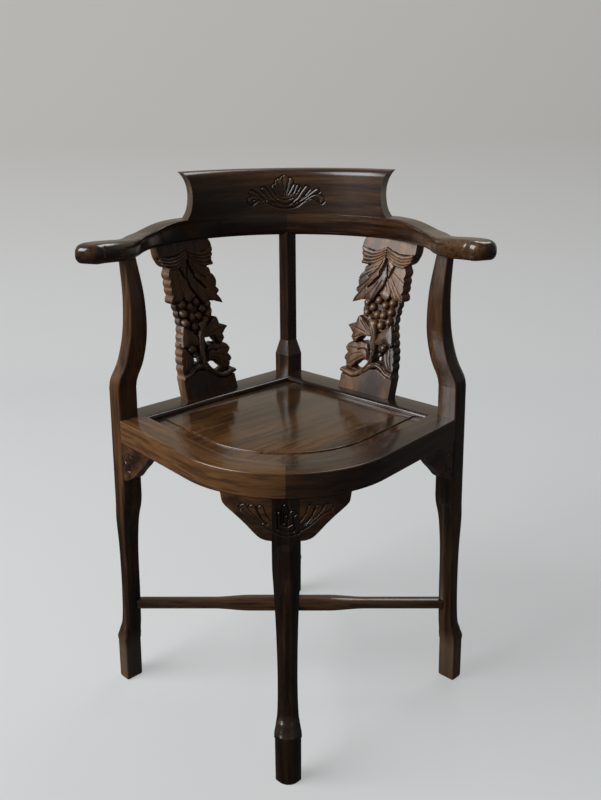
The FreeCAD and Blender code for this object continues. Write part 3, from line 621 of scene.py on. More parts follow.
def lineDistance(points, path):
    # distance of every point from a line through the path
    best = np.full(len(points), 1e9)
    for start, end in zip(path, path[1:]):
        a = np.array(start[:2], float)
        along = np.array(end[:2], float) - a
        length = max(float(along @ along), 1e-9)
        t = np.clip(((points - a) @ along) / length, 0, 1)
        best = np.minimum(best, np.linalg.norm(points - a - t[:, None] * along, axis=1))
    return best


def widthDistance(points, path):
    # distance from the path as a share of its own width there; a path's points are (x, y, width)
    best = np.full(len(points), 1e9)
    for start, end in zip(path, path[1:]):
        a = np.array(start[:2], float)
        along = np.array(end[:2], float) - a
        length = max(float(along @ along), 1e-9)
        t = np.clip(((points - a) @ along) / length, 0, 1)
        width = start[2] + t * (end[2] - start[2])
        best = np.minimum(best, np.linalg.norm(points - a - t[:, None] * along, axis=1) / width)
    return best


def insideOutline(points, outline):
    inside = np.zeros(len(points), bool)
    x, y = points[:, 0], points[:, 1]
    for (x0, y0), (x1, y1) in zip(outline, outline[1:] + outline[:1]):
        if y0 == y1:
            continue
        crosses = ((y0 > y) != (y1 > y)) & (x < (x1 - x0) * (y - y0) / (y1 - y0) + x0)
        inside ^= crosses
    return inside


def smoothStep(low, high, value):
    t = np.clip((value - low) / (high - low), 0, 1)
    return t * t * (3 - 2 * t)


class Carving:
    def __init__(self, low, high, step, ground):
        self.bm = bmesh.new()
        across, up = int((high[0] - low[0]) / step), int((high[1] - low[1]) / step)
        bmesh.ops.create_grid(self.bm, x_segments=across, y_segments=up, size=0.5)
        bmesh.ops.scale(self.bm, vec=(high[0] - low[0], high[1] - low[1], 1), verts=self.bm.verts)
        middle = ((low[0] + high[0]) / 2, (low[1] + high[1]) / 2, 0)
        bmesh.ops.translate(self.bm, vec=middle, verts=self.bm.verts)
        self.points = np.array([vert.co.xy for vert in self.bm.verts], float)
        self.height = np.full(len(self.points), float(ground))

    def area(self, outline, top, dome=0.0, edge=1.0):
        # raises or lowers a patch to its own level, crowned towards its middle
        outline = [tuple(point[:2]) for point in outline]
        distance = lineDistance(self.points, outline + outline[:1])
        signed = np.where(insideOutline(self.points, outline), distance, -distance)
        crown = dome * (1 - np.exp(-np.maximum(signed, 0) / 5.0))
        share = smoothStep(-edge / 2, edge / 2, signed)
        self.height += share * (top - dome + crown - self.height)
        return signed

    def groove(self, path, width, depth, steps=6):
        line = smoothPath(path, steps) if len(path) > 2 else path
        distance = lineDistance(self.points, line) / width
        self.height -= depth * np.exp(-distance ** 2 * 2.5)

    def taperedGroove(self, path, depth, steps=6):
        share = widthDistance(self.points, smoothPath(path, steps))
        self.height -= depth * np.exp(-share ** 4 * 1.2)

    def ridge(self, path, top, drop, steps=6):
        # a rounded strand; the path's points are (x, y, half width)
        share = widthDistance(self.points, smoothPath(path, steps))
        strand = top - drop + drop * np.sqrt(np.clip(1 - share ** 2, 0, 1))
        self.height = np.where(share < 1, np.maximum(self.height, strand), self.height)

    def lobe(self, path, depth=1.8, margin=1.45, steps=6):
        # a domed petal let into the face, with a cut line round it
        share = widthDistance(self.points, smoothPath(path, steps))
        sunk = -depth * (1 - smoothStep(1.05, margin, share))
        petal = -depth + depth * np.sqrt(np.clip(1 - share ** 2, 0, 1))
        self.height = np.where(share < 1, petal, np.minimum(self.height, sunk))

    def fan(self, centre, outline, first, last, ribs, depth):
        # shell: ribs that open from the centre, inside the outline
        offset = self.points - np.array(centre, float)
        turn = np.degrees(np.arctan2(offset[:, 1], offset[:, 0]))
        phase = (turn - first) / (last - first) * ribs
        distance = lineDistance(self.points, outline + outline[:1])
        signed = np.where(insideOutline(self.points, outline), distance, -distance)
        crown = np.sqrt(np.abs(np.sin(math.pi * phase)))
        inside = smoothStep(-0.2, 1.6, signed)
        self.height = np.where(signed > 0, depth * (-1 + inside * crown), self.height)
        self.height = np.where(signed <= 0, np.minimum(self.height, -depth * np.exp(-(signed / 0.9) ** 2)),
                               self.height)

    def ball(self, centre, radius, top):
        flat = np.linalg.norm(self.points - np.array(centre, float), axis=1)
        cap = top - radius + np.sqrt(np.clip(radius ** 2 - flat ** 2, 0, None))
        self.height = np.where(flat < radius, np.maximum(self.height, cap), self.height)

    def block(self, back):
        # closes the grid to a block that reaches back to the given depth
        for vert, z in zip(self.bm.verts, self.height):
            vert.co.z = z
        rim = [edge for edge in self.bm.edges if edge.is_boundary]
        made = bmesh.ops.extrude_edge_only(self.bm, edges=rim)["geom"]
        for vert in made:
            if isinstance(vert, bmesh.types.BMVert):
                vert.co.z = back
        rim = [edge for edge in self.bm.edges if edge.is_boundary]
        bmesh.ops.holes_fill(self.bm, edges=rim)
        bmesh.ops.recalc_face_normals(self.bm, faces=self.bm.faces)
        return self.bm


def temporaryObject(bm, name):
    mesh = bpy.data.meshes.new(name)
    bm.to_mesh(mesh)
    bm.free()
    made = bpy.data.objects.new(name, mesh)
    bpy.context.scene.collection.objects.link(made)
    return made


def sawn(blockMesh, outline, holes=(), depth=60):
    # keeps the part of the block inside the outline and outside the holes
    bm = bmesh.new()
    sweepFace(bm, newFace(bm, [(x, y, -depth) for x, y in outline]), [Matrix.Translation((0, 0, 2 * depth))])
    bmesh.ops.recalc_face_normals(bm, faces=bm.faces)
    cutter = temporaryObject(bm, "sawOutline")
    block = temporaryObject(blockMesh, "sawBlock")
    tools = [(cutter, "INTERSECT")]
    if holes:
        bm = bmesh.new()
        for hole in holes:
            face = newFace(bm, [(x, y, -2 * depth) for x, y in hole])
            sweepFace(bm, face, [Matrix.Translation((0, 0, 4 * depth))])
        bmesh.ops.recalc_face_normals(bm, faces=bm.faces)
        tools.append((temporaryObject(bm, "sawHoles"), "DIFFERENCE"))
    for tool, operation in tools:
        modifier = block.modifiers.new("saw", "BOOLEAN")
        modifier.operation = operation
        modifier.solver = "EXACT"
        modifier.object = tool
    shown = block.evaluated_get(bpy.context.evaluated_depsgraph_get())
    result = bmesh.new()
    result.from_mesh(shown.to_mesh())
    shown.to_mesh_clear()
    for tool, _ in tools + [(block, "")]:
        bpy.data.objects.remove(tool)
    return result


def place(bm, function):
    for vert in bm.verts:
        vert.co = function(*vert.co)


def markHollowShadeAndWax(bm, deepest, highest=1000):
    # how deep a point lies below the face, for the painted shade and wax in the hollows; not on the back or
    # the top edge
    layer = bm.verts.layers.float.new("hollowShadeAndWax")
    for vert in bm.verts:
        carved = vert.co.z > -1.6 * deepest and vert.co.y < highest
        vert[layer] = min(max(-vert.co.z / deepest, 0.0), 1.0) if carved else 0.0


def scalloped(corners, steps=6):
    # sawn edge: every corner (x, y, bulge) is followed by a shallow arc
    points = []
    for (x0, y0, bulge), (x1, y1, _) in zip(corners, corners[1:] + corners[:1]):
        count = steps if bulge else 1
        for step in range(count):
            t = step / count
            swell = 4 * bulge * t * (1 - t)
            points.append((x0 + t * (x1 - x0) + swell * (y1 - y0), y0 + t * (y1 - y0) - swell * (x1 - x0)))
    return points


# Splats, in the plane of the left one: X along the rail to the back post, Y is the height

splat = {
    "thickness": 22, "footInset": 18, "lean": 70.5, "step": 0.8, "grapeRadius": 7.0, "groundDepth": 9.0,
}
splatEdge = [
    (47, 699, 0), (-61, 699, 0), (-61, 681, 0.05), (-58, 671, 0.15), (-44, 659, -0.05), (-48, 652, 0.18),
    (-47, 640, 0.18), (-49, 628, 0.18), (-48, 615, 0.16), (-53, 604, 0.1), (-42, 600, 0.2), (-41, 588, 0.2),
    (-40, 576, 0.2), (-40, 564, 0.18), (-43, 552, 0.18), (-47, 540, 0.18), (-50.5, 528, 0.18),
    (-54, 516.5, 0.18), (-55.5, 504, 0.16), (-58, 492, -0.1), (-61, 483, 0), (-61, 449, 0), (47, 449, 0),
    (46, 472, -0.1), (49, 479, 0.15), (37, 486, 0.05),
    (45.5, 498, 0.12), (40, 508, 0.05), (46.5, 515.5, 0.1), (37, 527, 0.1), (38, 541, -0.06),
    (50.5, 552, 0.06), (34, 558, 0.06), (31, 570, 0.06), (24, 572, 0.2), (28.5, 586, 0.2), (24, 597, 0),
    (31, 597, -0.05), (51.5, 590.5, 0.05), (41, 607, 0), (47.5, 612, 0.1), (42, 619, 0.05),
    (45.5, 629, 0.12), (37, 643, 0.05), (36.5, 652, 0), (45.5, 656, 0.15), (43, 665, 0.1), (49, 677, 0.15),
]
splatHoles = [
    [(2, 539.5, 0.1), (13, 540, 0.15), (22, 536, 0.1), (27.5, 527.8, -0.1), (17, 529.5, -0.1), (4, 528, 0)],
    [(-1.5, 499.5, 0.1), (7, 501.5, 0.1), (19, 495.5, 0.05), (28, 485.8, -0.1), (14, 483, -0.1),
     (5, 487, -0.1)],
    [(-34, 500.5, -0.1), (-27, 512, 0.1), (-24, 519, 0.1), (-18, 520.5, 0.1), (-14, 511, 0.05),
     (-14.5, 500.5, 0.1)],
    [(-19.5, 551, 0.2), (-11, 552, 0.2), (-11, 546.5, 0.1), (-16, 546, 0.1)],
]
grapes = [
    (-32.4, 598.8), (-18, 593.2), (-3.6, 600), (20, 593.5), (-32, 583.6), (7, 587), (-18, 577),
    (-4.5, 576.4), (17.5, 577.5), (-31.8, 568), (8, 568.4), (-16.4, 560.6), (-2, 561),
]


def swag(carving, upper, lower, top):
    # a hanging scroll with flutes along it, between an upper and a lower line
    carving.area(upper + lower[::-1], top, 2.0, 1.2)
    upper = smoothPath(upper, 5)
    lower = smoothPath(lower, 5)
    count = min(len(upper), len(lower))
    for share in (0.26, 0.5, 0.76):
        line = []
        for index in range(count):
            a = upper[round(index * (len(upper) - 1) / (count - 1))]
            b = lower[round(index * (len(lower) - 1) / (count - 1))]
            line.append((between(a[0], b[0], share), between(a[1], b[1], share)))
        carving.groove(line[1:], 1.5, 2.2, 1)


def cutLowVine(carving):
    carving.area([(-70, 700), (60, 700), (60, 684), (46, 682), (22, 678), (8, 679), (-2, 686), (-14, 681),
                  (-30, 677), (-52, 677), (-70, 680)], -2.0, 0, 1.2)
    # vine lobes and the stalk's side, low on the left
    carving.area([(-40, 565), (-28, 557), (-16, 546), (-12, 530), (-20, 529), (-29, 532.5), (-42, 529.5),
                  (-49, 532), (-46, 548)], -1.0, 2.5)
    carving.area([(-60, 533), (-43, 529.5), (-37, 521), (-30, 510), (-34, 501), (-40, 495), (-64, 486),
                  (-60, 505)], -2.5, 2.5)
    carving.groove([(-45, 524), (-50, 508), (-55, 494)], 1.2, 1.2)
    carving.groove([(-38, 517), (-44, 504), (-52, 491)], 1.2, 1.0)
    # vine leaves, low on the right
    carving.area([(-6, 547), (4, 554), (11, 560), (24, 568), (32, 573), (36, 558), (54, 552.5), (38, 541),
                  (40, 534), (34, 528), (28, 527.5), (24, 534), (18, 538.5), (11, 540), (3, 540), (-5, 541)],
                 -0.5, 2.0)
    carving.area([(3, 528), (17, 529.5), (24, 526), (33, 527), (44, 524), (54, 515), (44, 508), (54, 498),
                  (42, 494), (40, 484), (28, 485), (19, 496), (8, 502.5), (-3, 503), (-2, 513), (0, 521)],
                 -1.5, 2.5)
    for line in ([(-3, 543), (10, 551), (25, 563)], [(-3, 546), (9, 554), (22, 565.5)],
                 [(5, 544), (20, 548), (35, 551), (48, 552.5)], [(18, 541), (28, 536), (35, 533)]):
        carving.groove(line, 1.1, 1.5)
    carving.groove([(20, 516), (12, 519), (3, 518.5), (-1, 512), (-2, 504)], 1.6, 3.0)
    for line in ([(12, 512), (26, 508), (42, 500)], [(14, 516), (28, 518), (43, 516)],
                 [(8, 508), (20, 500), (34, 490)]):
        carving.groove(line, 1.1, 1.3)
    carving.ball((-31, 526), 7.5, 0.5)
    carving.ball((-27, 515), 4.2, -1.5)


def cutStems(carving):
    # the stem turns into the lip of the ledge; a second strand comes from the left
    carving.ridge([(-64, 484, 4), (-47, 487, 4.2), (-37, 493, 4.4), (-26, 497, 4.4), (-14, 495, 4.4),
                   (-4, 487, 4.2), (6, 480, 4)], -0.5, 4.0)
    carving.groove([(-64, 487), (-47, 489.5), (-37, 496), (-25, 500), (-14, 497)], 1.0, 1.8)
    carving.ridge([(2, 562, 6), (-5, 549, 6), (-10, 530, 5.5), (-12, 513, 5), (-10, 500, 4.5),
                   (-2, 488, 4.5), (9, 480, 4.5), (24, 475.5, 4.2), (50, 480, 4.2)], 0.5, 5.0)
    for shift in (-1.8, 1.8):
        carving.groove([(2 + shift, 558), (-6 + shift, 546), (-10 + shift, 530), (-12 + shift, 512),
                        (-9 + shift, 499), (-1, 488 + shift), (9, 480 + shift)], 0.9, 1.5)
    carving.area([(-70, 445), (60, 445), (60, 473.5), (48, 473.5), (24, 469.5), (10, 473.5), (-1, 482),
                  (-13, 489), (-26, 491.5), (-37, 487.5), (-47, 482.5), (-70, 480)], -3.0, 0, 1.2)


def cutBigLeaves(carving):
    # the two leaves under the swags
    carving.area([(-6, 669), (-24, 657), (-42, 657), (-60, 653), (-60, 604), (-40, 603.5), (-30, 605.5),
                  (-26.5, 612), (-20, 601), (-10, 606.5), (-2.5, 611.5), (-8, 622), (-12, 633), (-13, 640),
                  (-10, 654)], -0.5, 2.5)
    carving.area([(-2, 673), (10, 664), (28, 655), (36, 652), (60, 652), (60, 591), (50, 590), (38, 593),
                  (30, 595.5), (24, 600), (12.5, 594), (6, 601), (-2, 612), (-9, 624), (-12.5, 638),
                  (-8, 655)], -0.5, 2.5)
    for line in ([(-9, 657), (-28, 645), (-50, 632)], [(-9, 653), (-28, 632), (-50, 606)],
                 [(-11, 648), (-24, 630), (-38, 608)], [(-12, 636), (-22, 622), (-30, 610)],
                 [(-9, 630), (-17, 617), (-20, 604)]):
        carving.groove(line, 1.0, 1.1)
    for line in ([(6, 656), (22, 650), (36, 644)], [(12, 648), (30, 640), (44, 630)],
                 [(14, 642), (30, 626), (46, 613)], [(18, 632), (34, 612), (50, 592)],
                 [(-4, 632), (4, 616), (12, 597)], [(4, 628), (16, 612), (26, 600)]):
        carving.groove(line, 1.0, 1.1)
    carving.area([(-27, 612), (-25, 606), (-20, 601), (-10, 606.5), (-2.5, 611.5), (-12, 618)], 1.0, 1.5)
    carving.taperedGroove([(-24.4, 657, 1.4), (-21, 648, 2.6), (-16, 637, 1.0)], 5.5)
    carving.taperedGroove([(-4, 670, 1.5), (-3, 656, 2.8), (3, 642, 3.2), (12, 629, 2.6), (23, 618.5, 1.2)],
                          7.0)
    carving.taperedGroove([(2, 664, 0.8), (7, 652, 1.6), (15, 643, 1.8), (26, 636, 0.8)], 3.0)
    carving.taperedGroove([(-13, 640, 1.0), (-10, 625, 1.7), (-2, 612, 1.9), (6, 601, 1.9), (13, 594, 1.4)],
                          4.5)
    carving.area([(3, 640), (10, 634), (17, 629.5), (19.5, 633), (13, 639), (6, 645)], 0.8, 1.5)


def carveSplat():
    carving = Carving((-64, 446), (54, 702), splat["step"], -splat["groundDepth"])
    cutLowVine(carving)
    cutStems(carving)
    for centre in grapes:
        carving.ball(centre, splat["grapeRadius"], 0.0)
    cutBigLeaves(carving)
    swag(carving, [(-2, 686), (-14, 681), (-28, 676.5), (-41, 675.5), (-58, 678)],
         [(-3, 671), (-13, 663.5), (-26, 657), (-42, 655.5), (-56, 660)], 1.0)
    swag(carving, [(-2, 686), (10, 680.5), (24, 678), (36, 680), (52, 684.5)],
         [(-2, 671), (8, 664), (20, 657.5), (34, 654.5), (50, 655)], 1.0)
    return carving.block(-splat["thickness"])


def splatPlace(along, z, rise):
    slope = splat["lean"] / (chair["armUnderside"] - chair["seatTop"])
    outward = railInner + splat["footInset"] + slope * (z - chair["seatTop"]) - rise
    return Vector(((along - outward) / rootTwo, (along + outward) / rootTwo, z))


splatMesh = sawn(carveSplat(), scalloped(splatEdge), [scalloped(hole) for hole in splatHoles])
markHollowShadeAndWax(splatMesh, splat["groundDepth"])


def makeSplat():
    bm = splatMesh.copy()
    place(bm, splatPlace)
    return bm


bothSides(makeSplat, "splat", (finishes["shadedLeftSplat"], finishes["litRightSplat"]), 50)
print("splats carved")


# Arms: a rounded section along the horseshoe, out to the club and round its tip

arm = {
    "width": 36, "thickness": 26, "lowY": 25, "riseStart": 75, "riseEnd": 168,
    "clubRise": 6, "clubLift": 3, "clubY": -72, "liftStart": -22, "crestEnd": 49, "postTurn": 92,
    "tipLength": 24, "tipSquareness": 2.5, "tipThinness": 0.30,
    # each edge's radius under the crest, at its foot, at the post and on the club,
    # from the inner bottom edge round to the inner top one
    "rounds": ((7.5, 7.5, 7.5, 10), (6, 6, 6, 10), (0.3, 6, 9, 11.5), (0.3, 2, 5, 11.5)),
}
# middle line of the arm in front of the post, with its width
armFlare = [(-235.5, 10, 39), (-241, -12, 43.5), (-249.5, -32, 46), (-260.5, -52, 46.5), (-271, -70, 45)]
tipHeading = Vector((-0.36, -0.93, 0)).normalized()


def eased(low, high, value):
    return float(smoothStep(low, high, np.array(value)))


def armTop(y):
    top = chair["armUnderside"] + arm["thickness"]
    if y > arm["lowY"]:
        return between(top, chair["crestBottom"], eased(arm["riseStart"], arm["riseEnd"], y))
    return between(top, top + arm["clubRise"], eased(-arm["lowY"], -arm["clubY"], -y))


def armBottom(y):
    low = chair["armUnderside"]
    return between(low, low + arm["clubLift"], eased(-arm["liftStart"], -arm["clubY"], -y))


def armStations():
    # middle, width, share of the full height, and how far along: 0 back, 1 crest end, 2 post, 3 club
    stations = []
    steps = 46
    for step in range(steps + 1):
        turn = arm["postTurn"] * step / steps
        angle = math.radians(90 + turn)
        point = armCentre + chair["armRadius"] * Vector((math.cos(angle), math.sin(angle), 0))
        if turn < arm["crestEnd"]:
            along = turn / arm["crestEnd"]
        else:
            along = 1 + (turn - arm["crestEnd"]) / (arm["postTurn"] - arm["crestEnd"])
        stations.append((point, arm["width"], 1.0, along))
    flare = smoothPath([(stations[-1][0].x, stations[-1][0].y, arm["width"])] + armFlare, 5)
    for index, (x, y, width) in enumerate(flare[1:]):
        stations.append((Vector((x, y, 0)), width, 1.0, 2 + (index + 1) / (len(flare) - 1)))
    last, fullWidth = stations[-1][0], stations[-1][1]
    for step in range(1, 17):
        turn = math.pi / 2 * step / 16
        power = 2 / arm["tipSquareness"]
        point = last + tipHeading * arm["tipLength"] * math.sin(turn) ** power
        narrow = max(math.cos(turn), 0.0) ** power
        stations.append((point, max(fullWidth * narrow, 0.5), between(arm["tipThinness"], 1.0, narrow), 3.0))
    return stations


def armRing(middle, heading, width, low, high, radii):
    # radii go round from the inner bottom corner to the inner top one
    outward = Vector((heading.y, -heading.x, 0))
    half = width / 2
    corners = [(-half, low, -1, -1), (half, low, 1, -1), (half, high, 1, 1), (-half, high, -1, 1)]
    ring = []
    for index, ((across, z, sideways, up), radius) in enumerate(zip(corners, radii)):
        radius = min(radius, 0.46 * width, 0.46 * (high - low))
        for step in range(8):
            turn = math.radians(180 + 90 * index + 90 * step / 7)
            place = across - sideways * radius + radius * math.cos(turn)
            point = middle + outward * place
            ring.append(Vector((point.x, point.y, z - up * radius + radius * math.sin(turn))))
    return ring


def edgeRound(along, underCrest, crestFoot, post, club):
    behind = between(underCrest, crestFoot, eased(0.98, 1.14, along))
    return between(behind, post, eased(1.0, 2.0, along)) + (club - post) * eased(1.9, 2.5, along)


def makeArm():
    stations = armStations()
    rings = []
    for index, (middle, width, share, along) in enumerate(stations):
        ahead = stations[min(index + 1, len(stations) - 1)][0] - stations[max(index - 1, 0)][0]
        heading = ahead.normalized() if index else Vector((-1, 0, 0))
        if along >= 3:
            heading = tipHeading
        low, high = armBottom(middle.y), armTop(middle.y)
        centre, half = (low + high) / 2, (high - low) / 2 * share
        radii = [edgeRound(along, *rounds) for rounds in arm["rounds"]]
        rings.append(armRing(middle, heading, width, centre - half, centre + half, radii))
    bm = bmesh.new()
    loftRings(bm, rings)
    markGrain(bm, armCentre, chair["armRadius"], 1, math.pi)
    return bm


bothSides(makeArm, "arm", (finishes["shadedLeftArm"], finishes["litRightArm"]), 40)
print("arms made")


# Crest: its face is the hollow side of a ring. X runs along the face, Y is the height.

crest = {
    "thickness": 28, "radius": chair["armRadius"] - arm["width"] / 2, "endSlant": 0.47, "round": 12,
    "step": 0.8, "blockReach": 200, "slices": 50, "carvingDepth": 2.5,
}
# front edge of an end: how far along the face from the middle, and the height
crestEdge = [(187, 733), (178.5, 745), (174.5, 760), (173.8, 777), (177.5, 793), (184.5, 805), (193, 813)]
shellBase = (-4, 757)
shellEdge = [
    (-17, 764), (-22, 773), (-27, 780), (-24, 786), (-20.5, 787), (-20, 792), (-15, 796), (-12, 795.5),
    (-9, 800), (-3.5, 801.5), (2.5, 800), (4.5, 796), (8.5, 796), (13, 791.5), (12.5, 787), (15, 783),
    (12, 772), (7.5, 764),
]
crestLobes = [
    [(9, 764, 1.6), (15, 772, 2.4), (19.5, 782, 3.2)],
    [(12, 754, 1.6), (21, 761, 3.0), (29, 771, 4.2), (35, 778, 4.6)],
    [(22, 755, 1.4), (36, 763, 2.8), (46, 770, 3.6), (53, 774, 4.2)],
    [(32, 757.5, 1.2), (45, 764, 2.2), (54, 765, 3.2), (61, 760, 4.6), (60, 755, 3.4)],
    [(-19, 755, 1.6), (-27, 762, 3.0), (-34, 771, 3.8), (-40, 777.5, 4.0)],
    [(-26, 753, 1.4), (-42, 760, 3.0), (-52, 767, 3.8), (-61, 772, 4.2)],
    [(-36, 757, 1.2), (-48, 762, 2.2), (-58, 763, 3.2), (-64, 758.5, 4.6), (-61, 753, 3.4)],
    [(-15, 759.5, 2.2), (-8, 755.5, 3.8), (-2, 754.5, 4.2), (5, 756, 3.8), (12, 761, 2.0)],
    [(-17, 765, 1.2), (-9, 762.5, 1.9), (-2, 762, 2.0), (5, 762.5, 1.9), (12, 765.5, 1.2)],
]
crestSweep = [(-60, 750), (-47, 759.5), (-33, 754), (-19.6, 747), (-2, 744), (15.7, 747), (29.4, 756),
              (43, 761.5), (58, 752.5)]


def crestOutline():
    edge = smoothPath(crestEdge, 6)
    return edge + [(-x, y) for x, y in reversed(edge)]


def carveCrest():
    limit = crest["blockReach"]
    low, high = chair["crestBottom"], chair["crestTop"]
    carving = Carving((-limit, low), (limit, high), crest["step"], 0.0)
    carving.groove(crestSweep, 2.0, 2.0)
    for lobe in crestLobes[:7]:
        carving.lobe(lobe)
    carving.fan(shellBase, shellEdge, 158, 28, 8, 1.8)
    for lobe in crestLobes[7:]:
        carving.lobe(lobe)
    fromTop = np.clip(carving.points[:, 1] - (high - crest["round"]), 0, crest["round"])
    carving.height -= crest["round"] - np.sqrt(crest["round"] ** 2 - fromTop ** 2)
    return carving.block(-crest["thickness"])


def crestPlace(along, z, rise):
    # the ends are cut so that they open a little towards the back
    angle = along / (crest["radius"] - crest["endSlant"] * rise)
    radius = crest["radius"] - rise
    return armCentre + Vector((radius * math.sin(angle), radius * math.cos(angle), z))


def sliceAcross(bm, low, high, count):
    # adds edges across the flat back, so that it can bend
    for index in range(1, count):
        geom = bm.verts[:] + bm.edges[:] + bm.faces[:]
        x = low + (high - low) * index / count
        bmesh.ops.bisect_plane(bm, geom=geom, dist=0.02, plane_co=(x, 0, 0), plane_no=(1, 0, 0))


def makeCrest():
    low, high = chair["crestBottom"], chair["crestTop"]
    bm = sawn(carveCrest(), [(x, min(max(y, low + 0.05), high - 0.05)) for x, y in crestOutline()])
    markHollowShadeAndWax(bm, crest["carvingDepth"], high - crest["round"])
    sliceAcross(bm, -crest["blockReach"], crest["blockReach"], crest["slices"])
    place(bm, crestPlace)
    markGrain(bm, armCentre, chair["armRadius"], 1, math.pi)
    return bm


finishPiece(makeCrest(), "crest_carved", ["crest_rail"], finishes["crest"])
print("crest carved")


# Knee brackets on the bow, and side brackets under the straights. X runs along the face.

bracket = {
    "setback": 1.5, "thickness": 18, "drop": 61, "sideLength": 77, "step": 0.6, "lineWidth": 1.0,
    "lineDepth": 1.7, "legHalfWidth": 18.2, "seam": 0.15, "legBlockLow": 332, "carvingDepth": 2.0,
    "kneeBlock": ((-96, 350), (-12, 417)), "kneeSlices": 14,
    "legFaceDepth": 14, "legSink": 8, "legSinkTop": 356,
}
kneeEdge = [(-92, 415.5), (-89.5, 403), (-85.5, 398), (-79, 393.5), (-67, 385.5), (-55, 376), (-45, 366.5),
            (-36.5, 359), (-28, 355.6), (-18.35, 354.6)]
kneeSweep = [(-64, 394.5), (-51, 390.5), (-37, 379.5), (-28, 373), (-15, 366.5), (-7, 363.2), (1, 362),
             (10, 363.2), (20, 366.8), (29, 372), (37, 380), (51, 390.5), (64, 394.5)]
kneeLobes = [
    [(-61.5, 395.5), (-64.3, 399), (-61, 403), (-56, 404.5), (-52, 401.5), (-49, 396), (-40, 387),
     (-31, 379)],
    [(-50.5, 399), (-48.5, 403.5), (-44, 404.8), (-40.5, 402), (-38, 395), (-31, 385), (-24, 378)],
    [(-38.5, 398), (-37, 403), (-32.5, 404.8), (-29, 401.5), (-26, 392), (-20.5, 384), (-13, 376.5)],
    [(-37, 398), (-34, 388), (-26, 377)],
]
legLines = [
    [(-13.5, 396.5), (-12.5, 400), (-9.5, 399.8), (-9.5, 396.5), (-11.5, 394), (-11, 385), (-10.8, 371)],
    [(-6, 377.5), (-6.2, 390), (-5.3, 401), (-1.3, 407.3), (3.2, 402), (3.5, 393), (1.6, 377)],
    [(-3, 380), (-3, 391), (-1.4, 398), (0.4, 391)],
    [(3.4, 385), (4.2, 394), (8, 398.3), (13.3, 397), (13.8, 393.5), (10, 388), (9.9, 381), (12.5, 374),
     (10.4, 367.5)],
    [(-9, 378.5), (-3.5, 376), (2, 375.5), (8.3, 378.8)],
    [(-9.4, 371.2), (-4, 369), (3, 368.3), (9.6, 368.6)],
]


def kneePlace(along, z, rise):
    radius = chair["bowRadius"] - bracket["setback"] + rise
    angle = along / (chair["bowRadius"] - bracket["setback"])
    return bowCentre + Vector((radius * math.sin(angle), -radius * math.cos(angle), z))


def cutLines(carving, lines):
    for line in lines:
        carving.groove(line, bracket["lineWidth"], bracket["lineDepth"])


def makeKnee():
    seam = -bracket["legHalfWidth"] - bracket["seam"]
    blockLow, blockHigh = bracket["kneeBlock"]
    carving = Carving(blockLow, blockHigh, bracket["step"], 0.0)
    carving.groove(kneeSweep, 1.1, 1.6)
    cutLines(carving, kneeLobes)
    outline = smoothPath(kneeEdge, 4) + [(seam, 354.6), (seam, chair["railBottom"])]
    top = chair["railBottom"] - 0.05
    bm = sawn(carving.block(-bracket["thickness"]), [(x, min(y, top)) for x, y in outline])
    markHollowShadeAndWax(bm, bracket["carvingDepth"])
    sliceAcross(bm, blockLow[0], blockHigh[0], bracket["kneeSlices"])
    place(bm, kneePlace)
    return bm


def makeLegFace():
    # the leg's own part of the carving; below the brackets it sinks into the round of the leg
    half, low = bracket["legHalfWidth"], bracket["legBlockLow"]
    carving = Carving((-half, low), (half, chair["railBottom"]), bracket["step"], 0.0)
    carving.groove(kneeSweep, 1.1, 1.6)
    cutLines(carving, legLines)
    carving.height -= bracket["legSink"] * smoothStep(bracket["legSinkTop"], low, carving.points[:, 1])
    bm = carving.block(-bracket["legFaceDepth"])
    markHollowShadeAndWax(bm, bracket["carvingDepth"])
    place(bm, kneePlace)
    return bm


sideEdge = [(0.0, 1.0), (0.07, 1.0), (0.15, 0.965), (0.25, 0.90), (0.4, 0.78), (0.52, 0.63), (0.64, 0.49),
            (0.78, 0.34), (0.9, 0.17), (1.0, 0.0)]
keyholeHead = [(17, 399.5), (25, 397.5), (28.5, 391), (24, 385.5), (20.5, 382.5), (19.5, 377), (21.5, 371.5)]
keyholeLeft = [(17, 399.5), (9, 398.5), (4.5, 393), (7, 386.5), (10.5, 383), (11.5, 377), (8, 370)]


def makeSideBracket():
    low, high = chair["railBottom"] - bracket["drop"], chair["railBottom"]
    edge = [(share * bracket["sideLength"], high - drop * bracket["drop"]) for share, drop in sideEdge]
    outline = [(-12, high - 0.05), (-12, low + 0.05)]
    outline += [(x, min(max(y, low + 0.05), high - 0.05)) for x, y in smoothPath(edge, 4)]
    carving = Carving((-14, low), (bracket["sideLength"] + 2, high), bracket["step"], 0.0)
    for line in (keyholeHead, keyholeLeft, [(21.5, 371.5), (15, 373.5), (8, 370)]):
        carving.groove(line, 1.1, 1.8)
    bm = sawn(carving.block(-bracket["thickness"]), outline)
    markHollowShadeAndWax(bm, bracket["carvingDepth"])
    place(bm, sideBracketPlace)
    trim(bm, Vector((-chair["postReach"], -postCorner, 0)), Vector((-1, -1, 0)))
    return bm


def sideBracketPlace(along, z, rise):
    corner = Vector((-chair["postReach"], -postCorner, 0))
    point = corner + straightAlong * along + straightOut * (rise - bracket["setback"])
    return Vector((point.x, point.y, z))


bothSides(makeKnee, "knee_bracket", (finishes["knee"],) * 2)
bothSides(makeSideBracket, "side_bracket", (finishes["knee"],) * 2)
frontLegMesh = makeFrontLeg()
addMesh(frontLegMesh, makeLegFace())
finishPiece(frontLegMesh, "front_leg_wood", ["front_leg"], finishes["frontLeg"])
print("brackets and front leg carved")


# Stretchers: one moulded section, fuller around the crossing

stretcher = {
    "level": 130, "endWidth": 16, "endHeight": 15, "midWidth": 22, "midHeight": 20, "swell": 62, "taper": 60,
    "intoLeg": 6,
}


